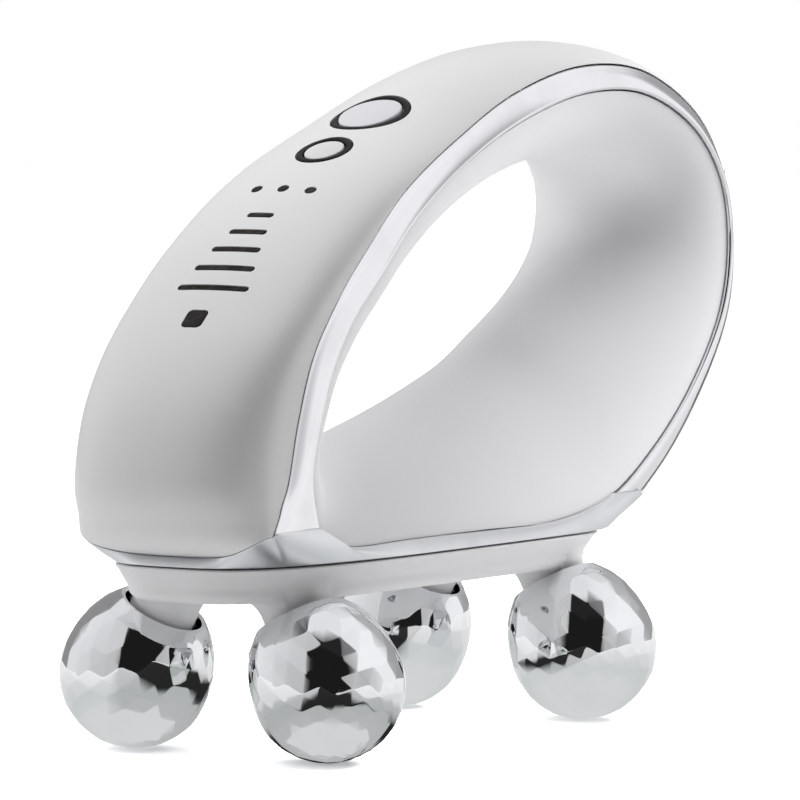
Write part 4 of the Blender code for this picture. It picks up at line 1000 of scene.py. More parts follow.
@dataclass
class Base:
    """The plated bezel and the white pan with its four necks and screws."""

    guides: Guides
    columns: int = 448
    seam: float = 0.0341
    pan_bottom: float = 0.0276
    line_gap: float = 0.0001
    bezel_bow: float = 0.0003
    trim_face: float = 0.0207
    front: float = 0.0609
    rear: float = 0.0570
    half_width: float = 0.0219
    bezel_wall: float = 0.0022
    bezel_ends: tuple[float, float] = (0.04, 0.97)
    bezel_brim: tuple[float, float] = (0.963, 0.894)
    floor_rings: tuple[float, ...] = (0.88, 0.7, 0.45, 0.2, 0.0)
    pan_wall: float = 0.0018
    pan_rear: float = 0.0530
    floor_front: float = 0.0569
    floor_rear: float = 0.0484
    floor_half_width: float = 0.0171
    edge_round: float = 0.0024
    brim_round: float = 0.0003
    half_base: float = 0.0414
    half_track: float = 0.0204156
    roller_radius: float = 0.0130
    splay: float = math.radians(28.0)
    neck_radius: float = 0.0059
    neck_tip: float = 0.0104
    neck_bore: float = 0.0023
    neck_bore_depth: float = 0.0070
    neck_steps: int = 72
    neck_smoothing: int = 12
    neck_round: float = 0.0006
    neck_root: float = 0.0006
    neck_lid: float = 0.0012
    blend_reach: float = 0.0034
    blend_share: float = 0.92
    blend_pull: float = 0.62
    blend_sink: float = 0.00003
    blend_steps: int = 14
    screw_half_base: float = 0.0220
    screw_half_track: float = 0.0132
    screw_seat: float = 0.0016
    sink_radius: float = 0.0022
    sink_depth: float = 0.0010

    def angles(self) -> np.ndarray:
        """Return the angles of the outlines' points."""
        return (np.arange(self.columns) + 0.5) * (math.tau / self.columns)

    def placed(self, flat: np.ndarray, height: np.ndarray | float) -> np.ndarray:
        """Return (x, y) points about the wheelbase as points of the frame at a height."""
        return np.stack((flat[:, 0] + self.guides.shift, flat[:, 1],
                         np.broadcast_to(height, flat.shape[:1])), axis=-1)

    def shoulder_line(self, feet: list[np.ndarray], low: np.ndarray) -> np.ndarray:
        """Return the bezel's upper outline: along the covers' feet and the trims' faces.

        Args:
            feet: The (x, y, z) points of the front and the rear cover's lower edge.
            low: The (x, y) points of the lower outline, whose bearings are kept.

        Returns:
            One (x, y) point for each column, about the middle of the wheelbase.
        """
        front, rear = (foot[:, :2] - (self.guides.shift, 0.0) for foot in feet)
        corner = self.trim_face - front[:, 1].max()
        bends = []
        for edge, way in ((front, -1.0), (rear, 1.0)):
            edge = edge[np.argsort(edge[:, 1])]
            turns = np.linspace(0.0, math.pi / 2, 6)
            last = np.stack((edge[-1, 0] - way * corner * (1 - np.cos(turns)),
                             edge[-1, 1] + corner * np.sin(turns)), axis=-1)
            bends.append(np.concatenate((last[:0:-1] * (1.0, -1.0), edge, last[1:])))
        path = np.concatenate((bends[1], bends[0][::-1]))
        bearings = np.unwrap(np.arctan2(path[:, 1], path[:, 0]))
        bearings, path = (np.concatenate((one - turn, one, one + turn)) for one, turn in (
            (bearings, math.tau), (path, 0.0)))
        spread = np.unwrap(np.arctan2(low[:, 1], low[:, 0]))
        return np.stack([np.interp(spread, bearings, path[:, axis]) for axis in (0, 1)], axis=-1)

    def bezel(self, feet: list[np.ndarray]) -> bpy.types.Object:
        """Build the plated ring, its top edge following the covers, the trims and the liner.

        Args:
            feet: The (x, y, z) points of the front and the rear cover's lower edge.

        Returns:
            The bezel.
        """
        angles = self.angles()
        low = Plan(self.front, self.rear, self.half_width, self.seam).outline(angles)
        high = self.shoulder_line(feet, low)
        peak = np.minimum(self.guides.joint(high[:, 1]),
                          self.guides.rim_height(high[:, 0] + self.guides.shift)) - self.line_gap
        run = np.roll(low + high, -1, axis=0) - np.roll(low + high, 1, axis=0)
        inward = np.stack((-run[:, 1], run[:, 0]), axis=-1)
        inward /= np.linalg.norm(inward, axis=-1)[:, None]
        soft = self.brim_round

        def level(share: float, inset: float = 0.0) -> np.ndarray:
            """Return the wall's points at a share of its height."""
            bow = math.sin(math.pi * share) * self.bezel_bow
            flat = low + (high - low) * share + inward * (inset - bow)
            return self.placed(flat, self.seam + (peak - self.seam) * share)

        start, stop = self.bezel_ends
        rings = [level(start * (1 - cosine), soft * (1 - sine)) for cosine, sine in quarter(3)]
        rings += [level(share) for share in np.linspace(start, stop, 14)[1:]]
        rings += [level(stop + (1.0 - stop) * sine, soft / 2 * (1 - cosine))
                  for cosine, sine in quarter(3, 1)]
        rings.append(self.placed(high * self.bezel_brim, peak))
        seat = Plan(self.front, self.pan_rear, self.half_width, self.seam)
        rings.append(self.placed(seat.outline(angles, self.bezel_wall), self.seam))
        mesh = bmesh.new()
        add_grid(mesh, np.array(rings), close_rows=True, close_columns=True)
        return add_piece("bright_bezel", mesh, BRIGHT_BEZEL, sharp=40.0)

    def pan_skin(self) -> bmesh.types.BMesh:
        """Return the pan's closed skin: drawn walls, a rounded edge and a flat floor."""
        angles = self.angles()
        brim = Plan(self.front, self.pan_rear, self.half_width, self.seam - self.guides.gap)
        floor = Plan(self.floor_front, self.floor_rear, self.floor_half_width, self.pan_bottom)
        edge = self.edge_round
        knee = Plan(self.floor_front + edge, self.floor_rear + edge,
                    self.floor_half_width + edge, self.pan_bottom + edge)
        soft = self.brim_round
        rings = [self.placed(brim.outline(angles, self.pan_wall), brim.level)]
        rings += [self.placed(brim.outline(angles, soft * (1 - sine)),
                              brim.level - soft * (1 - cosine)) for cosine, sine in quarter(3)]
        lower = brim.towards(knee, soft / (brim.level - knee.level))
        for share in np.linspace(0.0, 1.0, 6)[1:]:
            level = lower.towards(knee, share)
            rings.append(self.placed(level.outline(angles), level.level))
        rings += [self.placed(knee.outline(angles, edge * (1 - cosine)), knee.level - edge * sine)
                  for cosine, sine in quarter(8, 1)]
        flat, inner = floor.outline(angles), self.pan_bottom + self.pan_wall
        rings += [self.placed(flat * scale, self.pan_bottom) for scale in self.floor_rings]
        inside = [self.placed(knee.outline(angles, self.pan_wall), knee.level),
                  self.placed(floor.outline(angles, self.pan_wall), inner),
                  self.placed(flat * 0.5, inner), self.placed(flat * 0.0, inner)]
        mesh = bmesh.new()
        add_grid(mesh, np.array(inside[::-1] + rings), close_columns=True)
        bmesh.ops.remove_doubles(mesh, verts=mesh.verts, dist=1e-7)
        bmesh.ops.recalc_face_normals(mesh, faces=mesh.faces)
        return mesh

    def axis(self, end: End, side: Side) -> Matrix:
        """Return the frame on a roller's axis, at its centre, with Z up into the neck."""
        place = (self.guides.shift + end.value * self.half_base, side.value * self.half_track,
                 self.roller_radius)
        return Matrix.Translation(place) @ Matrix.Rotation(side.value * self.splay, 4, "X")

    def neck(self, mesh: bmesh.types.BMesh, skin: BVHTree, end: End, side: Side) -> None:
        """Add one neck, from its bore round its tip and up to a smooth spread on the pan."""
        matrix = self.axis(end, side)
        upward = matrix.col[2].to_3d()
        rings = []
        tip, soft = self.neck_tip, self.neck_round
        bore_top = tip + self.neck_bore_depth
        lower = [(0.0, bore_top), (self.neck_bore, bore_top), (self.neck_bore, tip),
                 (self.neck_radius - soft, tip)]
        lower += [(self.neck_radius - soft * (1 - sine), tip + soft * (1 - cosine))
                  for cosine, sine in quarter(3, 1)]
        turns = [math.tau * index / self.neck_steps for index in range(self.neck_steps)]
        lines = [[matrix @ Vector((radius * math.cos(turn), radius * math.sin(turn), height))
                  for radius, height in lower] for turn in turns]
        hits, spots = [], []
        for turn, line in zip(turns, lines):
            radial = matrix.to_3x3() @ Vector((math.cos(turn), math.sin(turn), 0.0))
            hit, normal, _, _ = skin.ray_cast(line[-1], upward)
            slide = radial + upward
            slide = (slide - normal * slide.dot(normal)).normalized()
            hits.append(hit)
            spots.append(skin.find_nearest(hit + slide * self.blend_reach)[0])
        for _ in range(self.neck_smoothing):
            spots = [(before + spot * 2 + after) / 4 for before, spot, after in zip(
                spots[-1:] + spots[:-1], spots, spots[1:] + spots[:1])]
        for hit, spot, line in zip(hits, spots, lines):
            landing, landing_normal, _, _ = skin.find_nearest(spot)
            slide = landing - hit
            settle = (slide - landing_normal * slide.dot(landing_normal)).normalized()
            leave = hit - upward * min(self.blend_reach,
                                       (hit - line[-1]).length * self.blend_share)
            landing = landing - landing_normal * self.blend_sink
            first = leave + upward * (self.blend_reach * self.blend_pull)
            second = landing - settle * (self.blend_reach * self.blend_pull)
            for step in range(self.blend_steps + 1):
                share = step / self.blend_steps
                line.append(leave * (1 - share) ** 3 + first * 3 * share * (1 - share) ** 2
                            + second * 3 * share ** 2 * (1 - share) + landing * share ** 3)
            line.append(landing - landing_normal * self.neck_root)
            line.append(matrix @ Vector((0.0, 0.0, bore_top + self.neck_lid)))
            rings.append(line)
        add_grid(mesh, np.array(rings), close_rows=True)

    def screw_places(self, height: float) -> list[tuple[float, float, float]]:
        """Return the places of the four pan screws at a height."""
        return [(self.guides.shift + end.value * self.screw_half_base,
                 side.value * self.screw_half_track, height) for end, side in CORNERS.values()]

    def pan(self) -> bpy.types.Object:
        """Build the pan with its necks and the seats of its screws."""
        skin = self.pan_skin()
        tree = BVHTree.FromBMesh(skin)
        item = add_piece("white_pan", skin, SATIN_PAN, sharp=40.0)
        seats = bmesh.new()
        sink = rod(self.sink_radius, self.screw_seat, -self.sink_depth)
        for place in self.screw_places(self.pan_bottom):
            add_into(seats, turned(sink, Matrix.Translation(place), 48))
        cut_away(item, seats)
        necks = bmesh.new()
        for end, side in CORNERS.values():
            self.neck(necks, tree, end, side)
        bmesh.ops.remove_doubles(necks, verts=necks.verts, dist=1e-7)
        bmesh.ops.recalc_face_normals(necks, faces=necks.faces)
        necks.from_mesh(item.data)
        bpy.data.objects.remove(item)
        return add_piece("white_pan", necks, SATIN_PAN, sharp=40.0, merge=1e-7)


@dataclass
class Rollers:
    """The four plated shells, faceted by one rule and softened in a node tree."""

    base: Base
    columns: int = 24
    belts: int = 11
    radius: float = 0.0130
    rim_radius: float = 0.0079
    rim_height: float = 0.0134
    mouth_radius: float = 0.0071
    wall: float = 0.0016
    levels: int = 4
    softness: float = 0.30
    girth: float = 1.03
    jitter: float = 0.00009
    rounds: int = 2
    seed_turn: float = 0.7

    def stretch(self) -> float:
        """Return how much taller the upper half is than a sphere."""
        top = math.acos(self.rim_radius / self.radius)
        return self.rim_height / (self.radius * math.sin(top))

    def lattice(self) -> bpy.types.Object:
        """Return the open shell of staggered three-sided facets, about its own axis."""
        top = math.acos(self.rim_radius / self.radius)
        pitch = math.tau / self.columns
        mesh = bmesh.new()
        belts = []
        for belt in range(self.belts + 1):
            angle = top - (top + math.pi / 2) * belt / (self.belts + 1)
            radius = self.radius * math.cos(angle) * (self.girth if belt else 1.0)
            height = self.radius * math.sin(angle) * (self.stretch() if angle > 0.0 else 1.0)
            turn = pitch / 2 * (belt % 2)
            belts.append([mesh.verts.new((radius * math.cos(turn + pitch * step),
                                          radius * math.sin(turn + pitch * step), height))
                          for step in range(self.columns)])
        pole = mesh.verts.new((0.0, 0.0, -self.radius))
        for step in range(self.columns):
            after = (step + 1) % self.columns
            for number, (upper, lower) in enumerate(zip(belts, belts[1:])):
                if number % 2:
                    mesh.faces.new((upper[step], lower[step], lower[after]))
                    mesh.faces.new((upper[step], lower[after], upper[after]))
                else:
                    mesh.faces.new((upper[step], lower[step], upper[after]))
                    mesh.faces.new((upper[after], lower[step], lower[after]))
            mesh.faces.new((belts[-1][step], pole, belts[-1][after]))
        return stored("facets", mesh)

    def tree(self) -> bpy.types.NodeTree:
        """Return the node tree that turns flat facets into softly rounded ones."""
        tree, sheet, given = start_group(
            "soft_facets", Float=("Radius", "Stretch", "Girth", "Softness", "Unevenness"),
            Int=("Levels", "Rounds", "Seed"), Material=("Finish",))
        lowest, highest = (sheet.scaled((way, way, way), given["Unevenness"])
                           for way in (-1.0, 1.0))
        shake = sheet.node("FunctionNodeRandomValue", {"data_type": "FLOAT_VECTOR"},
                           {0: lowest, 1: highest, "Seed": given["Seed"]})
        nudged = sheet.node("GeometryNodeSetPosition", None, {
            "Geometry": given["Shape"], "Offset": shake.outputs[0]})
        fine = sheet.node("GeometryNodeSubdivideMesh", None, {
            "Mesh": nudged.outputs[0], "Level": given["Levels"]})
        place = sheet.node("GeometryNodeInputPosition").outputs[0]
        parts = sheet.node("ShaderNodeSeparateXYZ", None, {0: place}).outputs
        upper = Value(sheet, parts[2]) > 0.0
        tall = Value(sheet, given["Stretch"]) * upper + (1.0 - upper)
        squeezed = sheet.joined(parts[0], parts[1], Value(sheet, parts[2]) / tall)
        unit = sheet.node("ShaderNodeVectorMath", {"operation": "NORMALIZE"}, {0: squeezed})
        egg = sheet.vector("MULTIPLY", sheet.scaled(unit.outputs[0], given["Radius"]),
                           sheet.joined(given["Girth"], given["Girth"], tall))
        mixed = sheet.node("ShaderNodeMix", {"data_type": "VECTOR"}, {
            0: given["Softness"], 4: place, 5: egg}).outputs[1]
        eased = sheet.node("GeometryNodeBlurAttribute", {"data_type": "FLOAT_VECTOR"}, {
            "Iterations": given["Rounds"]})
        sheet.feed([socket for socket in eased.inputs if socket.enabled
                    and socket.type == "VECTOR"][0], mixed)
        blurred = [socket for socket in eased.outputs if socket.enabled][0]
        shaped = sheet.node("GeometryNodeSetPosition", None, {
            "Geometry": fine.outputs[0], "Position": blurred})
        end_group(sheet, shaped.outputs[0], given["Finish"])
        return tree

    def shell(self, tree: bpy.types.NodeTree, name: str, seed: int) -> bpy.types.Object:
        """Build one corner's roller shell with its rounded lip and hollow."""
        item = self.lattice()
        run_group(item, tree, {
            "Radius": self.radius, "Stretch": self.stretch(), "Girth": self.girth,
            "Softness": self.softness, "Unevenness": self.jitter, "Levels": self.levels,
            "Rounds": self.rounds, "Seed": seed, "Finish": BRIGHT_ROLLER.material()})
        mesh = bmesh.new()
        mesh.from_mesh(item.data)
        bpy.data.objects.remove(item)
        edges = [edge for edge in mesh.edges if edge.is_boundary]
        lip = (self.rim_radius - self.mouth_radius) / 2
        middle = self.mouth_radius + lip
        profile = [(middle + lip * math.cos(turn), self.rim_height - lip + lip * math.sin(turn))
                   for turn in (math.pi * part / 8 for part in range(2, 9))]
        cavity = self.radius - self.wall
        shelf = math.acos(self.mouth_radius / cavity)
        profile += [(cavity * math.cos(angle), cavity * math.sin(angle))
                    for angle in np.linspace(shelf, -math.pi / 2, 9)[:-1]]
        ring = []
        for radius, height in profile:
            made = bmesh.ops.extrude_edge_only(mesh, edges=edges)["geom"]
            ring = [part for part in made if isinstance(part, bmesh.types.BMVert)]
            edges = [part for part in made if isinstance(part, bmesh.types.BMEdge)]
            for vert in ring:
                angle = math.atan2(vert.co.y, vert.co.x)
                vert.co = (radius * math.cos(angle), radius * math.sin(angle), height)
        bmesh.ops.pointmerge(mesh, verts=ring, merge_co=(0.0, 0.0, -cavity))
        turn = Matrix.Rotation(self.seed_turn * seed, 4, "Z")
        mesh.transform(self.base.axis(*CORNERS[name]) @ turn)
        return add_piece(f"faceted_roller_{name}", mesh, BRIGHT_ROLLER, sharp=60.0, merge=1e-7)


@dataclass
class Panel:
    """The buttons and light windows on the slope of the front cover."""

    guides: Guides
    gap: float = 0.0003
    ring_wall: float = 0.00105
    ring_depth: float = 0.0032
    ring_lip: float = 0.0014
    cap_crown: float = 0.0004
    cap_proud: float = -0.0001
    cap_foot: float = 0.0042
    steps: int = 96
    buttons: tuple = (("power", 0.018, 0.00715), ("mode", -0.0875, 0.0050))
    dots: tuple = (-0.1822, 0.0019, 0.00565)
    bars: tuple = (-0.231, -0.2586, -0.2850, -0.3105, -0.3360)
    bar_thickness: float = 0.00108
    bar_short: float = 0.0052
    bar_long: float = 0.0145
    bar_aside: float = -0.00018
    lamp: tuple = (-0.3762, 0.0040, 0.0009)
    window_depth: float = 0.0026
    window_proud: float = 0.00002
    window_round: float = 0.00015
    window_gap: float = 0.00015
    hole_top: float = 0.003
    hole_foot: float = 0.0045
    least_round: float = 0.00005
    bend_steps: int = 8

    def ring_profile(self, radius: float) -> list[tuple[float, float]]:
        """Return the section of a button's dark ring."""
        lip = radius - self.ring_wall
        seat = lip + 0.0005
        return softened([(radius, 0.0001), (radius, -self.ring_depth), (seat, -self.ring_depth),
                         (seat, -self.ring_lip), (lip, -self.ring_lip), (lip, 0.0001)],
                        [0.0003, 0.0, 0.0, 0.0, 0.0, 0.0003], closed=True)

    def cap_profile(self, radius: float) -> list[tuple[float, float]]:
        """Return the section of a button's domed cap."""
        cap = radius - self.ring_wall - self.gap
        flange = cap + 0.0005
        dome = [(cap * share, self.cap_proud + self.cap_crown * (1.0 - share ** 2))
                for share in (0.0, 0.15, 0.3, 0.45, 0.6, 0.72, 0.82, 0.90)]
        edge = softened([dome[-1], (cap, self.cap_proud), (cap, -self.ring_lip - self.gap)],
                        [0.0, 0.0005, 0.0], steps=5)
        return dome + edge[1:] + [(flange, -self.ring_lip - self.gap),
                                  (flange, -self.ring_lip - self.gap - 0.0008),
                                  (0.0016, -self.ring_lip - self.gap - 0.0008),
                                  (0.0016, -self.cap_foot), (0.0, -self.cap_foot)]

    def windows(self) -> list[tuple[str, float, float, float, float, float]]:
        """Return each window's kind, share, place across, length, width and corner."""
        share, size, pitch = self.dots
        made = [("dots", share, (number - 1) * pitch, size, size, size / 2)
                for number in range(3)]
        for number, share in enumerate(self.bars):
            width = self.bar_short + (self.bar_long - self.bar_short) * number / 4
            made.append(("bars", share, self.bar_aside, self.bar_thickness, width,
                         self.bar_thickness / 2))
        share, size, corner = self.lamp
        made.append(("lamp", share, 0.0, size, size, corner))
        return made

    def block(self, mesh: bmesh.types.BMesh, share: float, across: float, length: float,
              width: float, corner: float, top: float, depth: float, soft: float) -> None:
        """Add a block with rounded corners and a softened top edge that follows the crown.

        Args:
            mesh: Mesh that takes the block.
            share: Place of its middle along the panel.
            across: Place of its middle across the panel.
            length: Size down the slope.
            width: Size across.
            corner: Corner radius.
            top: Height of its top.
            depth: Depth of its foot.
            soft: Radius of the top edge.
        """
        matrix = self.guides.crest_frame(share, 512)

        def loop(inset: float, height: float) -> list[Vector]:
            """Return one level of the block."""
            radius = max(min(corner, length / 2) - inset, self.least_round)
            steps, half = self.bend_steps, 2 * (self.bend_steps + 1)
            points = []
            for bend, (down, aside) in enumerate(((1, 1), (-1, 1), (-1, -1), (1, -1))):
                centre_x = (length / 2 - min(corner, length / 2)) * down
                centre_y = (width / 2 - min(corner, width / 2)) * aside
                for step in range(steps + 1):
                    turn = math.pi / 2 * (bend + step / steps)
                    points.append(Vector((centre_x + radius * math.cos(turn),
                                          across + centre_y + radius * math.sin(turn), height)))
            sides = [[points[start - 1].lerp(points[start % len(points)], part / steps)
                      for part in range(1, steps)] for start in (half, 2 * half)]
            points = points[:half] + sides[0] + points[half:] + sides[1]
            return [matrix @ (point - Vector((0.0, 0.0, self.guides.sag(share, point.y)
                                              if height > -0.001 else 0.0)))
                    for point in points]

        rings = [loop(0.0, -depth)]
        rings += [loop(soft * (1 - cosine), top - soft * (1 - sine))
                  for cosine, sine in quarter(4)]
        add_grid(mesh, np.array(rings), close_columns=True, cap_rows=True)

    def build(self, cover: bpy.types.Object) -> list[tuple[bpy.types.Object, str, str, list[str]]]:
        """Build the panel's pieces and cut their holes in the cover.

        Args:
            cover: The front cover.

        Returns:
            Each piece with its body, material slot and the solids that it stands for.
        """
        made = []
        holes = bmesh.new()
        for name, share, radius in self.buttons:
            matrix = self.guides.crest_frame(share)
            mesh = turned(self.ring_profile(radius), Matrix(), self.steps, ring=True)
            for vert in mesh.verts:
                if vert.co.z > -0.0005:
                    vert.co.z -= self.guides.sag(share, vert.co.y)
            mesh.transform(matrix)
            ring = add_piece(f"{name}_ring", mesh, DARK_PLASTIC, sharp=50.0)
            finish = PALE_CAP if name == "power" else WARM_CAP
            cap = add_piece(f"{name}_cap", turned(self.cap_profile(radius), matrix, self.steps),
                            finish, sharp=50.0)
            made.append((ring, "body", "dark_plastic", [f"{name}_button_ring"]))
            made.append((cap, f"{name}_button", "pale_cap", [f"{name}_button_cap"]))
            hole = rod(radius + self.gap, self.hole_top, -self.hole_foot)
            add_into(holes, turned(hole, matrix, self.steps))
        groups: dict[str, bmesh.types.BMesh] = {}
        for kind, share, across, length, width, corner in self.windows():
            if kind not in groups:
                groups[kind] = bmesh.new()
            self.block(groups[kind], share, across, length, width, corner, self.window_proud,
                       self.window_depth, self.window_round)
            gap = self.window_gap
            self.block(holes, share, across, length + 2 * gap, width + 2 * gap, corner + gap,
                       self.hole_top, self.hole_foot, self.least_round)
        stands_for = {"dots": [f"light_dot_{number}" for number in (1, 2, 3)],
                      "bars": [f"light_bar_{number}" for number in range(1, 6)],
                      "lamp": ["light_lamp"]}
        for kind, mesh in groups.items():
            item = add_piece(f"window_{kind}", mesh, LAMP_TINT, sharp=50.0)
            made.append((item, "body", "lamp_tint", stands_for[kind]))
        bmesh.ops.remove_doubles(holes, verts=holes.verts, dist=1e-6)
        bmesh.ops.dissolve_degenerate(holes, edges=holes.edges, dist=1e-6)
        cut_away(cover, holes, sharp=40.0)
        return made


@dataclass
class Jack:
    """The charging socket low on the rear cover."""

    guides: Guides
    height: float = 0.0505
    radius: float = 0.0030
    bore: float = 0.0018
    length: float = 0.0085
    collar: float = 0.0010
    collar_drop: float = 0.0021
    wall: float = 0.0010
    edge_round: float = 0.0003
    pin_radius: float = 0.0006
    pin_drop: float = 0.0012
    pin_foot: float = 0.0008
    hole_gap: float = 0.0003
    hole_top: float = 0.003
    hole_foot: float = 0.006
    steps: int = 64
    pin_steps: int = 24

    def build(self, cover: bpy.types.Object) -> bpy.types.Object:
        """Build the socket with its centre pin and cut its hole in the rear cover."""
        matrix = self.guides.jack_frame(self.height)
        back, wide, foot = -self.collar_drop, self.radius + self.collar, -self.length
        profile = softened([
            (self.radius, 0.0), (self.radius, back), (wide, back), (wide, back - self.collar),
            (self.radius, back - self.collar), (self.radius, foot), (0.0, foot),
            (0.0, foot + self.wall), (self.bore, foot + self.wall), (self.bore, 0.0)],
            [self.edge_round, *[0.0] * 8, self.edge_round], closed=True)
        mesh = turned(profile, matrix, self.steps, ring=True)
        pin = rod(self.pin_radius, -self.pin_drop, foot + self.pin_foot)
        add_into(mesh, turned(softened(pin, [0.0, self.edge_round, 0.0, 0.0]), matrix,
                              self.pin_steps))
        hole = rod(self.radius + self.hole_gap, self.hole_top, -self.hole_foot)
        cut_away(cover, turned(hole, matrix, self.steps), sharp=40.0)
        return add_piece("charge_socket", mesh, DARK_PLASTIC, sharp=50.0)


@dataclass
class Screws:
    """The four pan screws: one screw made and set out by a node tree."""

    base: Base
    head_radius: float = 0.0019
    head_height: float = 0.0013
    shank_radius: float = 0.0010
    shank_length: float = 0.0069
    slot_width: float = 0.0006
    slot_depth: float = 0.0007
    slot_reach: float = 1.25
    head_taper: float = 0.86
    most_turn: float = 1.5
    seed: int = 7
    steps: int = 40

    def tree(self) -> bpy.types.NodeTree:
        """Return the node tree that sets a cross-recessed screw on each point."""
        tree, sheet, given = start_group(
            "pan_screws", Float=("Head Radius", "Head Height", "Shank Radius", "Shank Length",
                                 "Slot Width", "Slot Depth"),
            Int=("Sides",), Material=("Finish",))
        height = Value(sheet, given["Head Height"])
        depth = Value(sheet, given["Slot Depth"])
        head = sheet.node("GeometryNodeMeshCone", None, {
            "Vertices": given["Sides"], "Radius Top": given["Head Radius"],
            "Radius Bottom": Value(sheet, given["Head Radius"]) * self.head_taper,
            "Depth": given["Head Height"]}).outputs[0]
        cross = sheet.node("GeometryNodeMeshBoolean", {"operation": "UNION"})
        long = Value(sheet, given["Head Radius"]) * self.slot_reach
        for across in ((long, given["Slot Width"]), (given["Slot Width"], long)):
            slot = sheet.node("GeometryNodeMeshCube", None, {
                "Size": sheet.joined(*across, depth * 2.0)}).outputs[0]
            tree.links.new(slot, cross.inputs[1])
        recessed = sheet.node("GeometryNodeMeshBoolean", {"operation": "DIFFERENCE"}, {
            0: head, 1: cross.outputs[0]})
        shank = sheet.node("GeometryNodeMeshCylinder", None, {
            "Vertices": given["Sides"], "Radius": given["Shank Radius"],
            "Depth": given["Shank Length"]}).outputs[0]
        screw = sheet.node("GeometryNodeJoinGeometry")
        rise = height + Value(sheet, given["Shank Length"]) * 0.5
        lifted = sheet.node("GeometryNodeTransform", None, {
            "Geometry": shank, "Translation": sheet.joined(0.0, 0.0, rise)})
        for shape in (recessed, lifted):
            tree.links.new(shape.outputs[0], screw.inputs[0])
        spots = sheet.node("GeometryNodeMeshToPoints", None, {"Mesh": given["Shape"]})
        turn = sheet.node("FunctionNodeRandomValue", {"data_type": "FLOAT"}, {
            2: 0.0, 3: self.most_turn, "Seed": self.seed})
        placed = sheet.node("GeometryNodeInstanceOnPoints", None, {
            "Points": spots.outputs[0], "Instance": screw.outputs[0],
            "Rotation": sheet.joined(0.0, 0.0, turn.outputs[1])})
        end_group(sheet, placed.outputs[0], given["Finish"])
        return tree

    def build(self) -> bpy.types.Object:
        """Build the four screws as one piece."""
        places = bmesh.new()
        level = self.base.pan_bottom + self.base.screw_seat - self.head_height
        for place in self.base.screw_places(level):
            places.verts.new(place)
        item = stored("cross_screws", places)
        run_group(item, self.tree(), {
            "Head Radius": self.head_radius, "Head Height": self.head_height,
            "Shank Radius": self.shank_radius, "Shank Length": self.shank_length,
            "Slot Width": self.slot_width, "Slot Depth": self.slot_depth,
            "Sides": self.steps, "Finish": STEEL.material()})
        item.data.shade_smooth()
        item.data.set_sharp_from_angle(angle=math.radians(30.0))
        return item


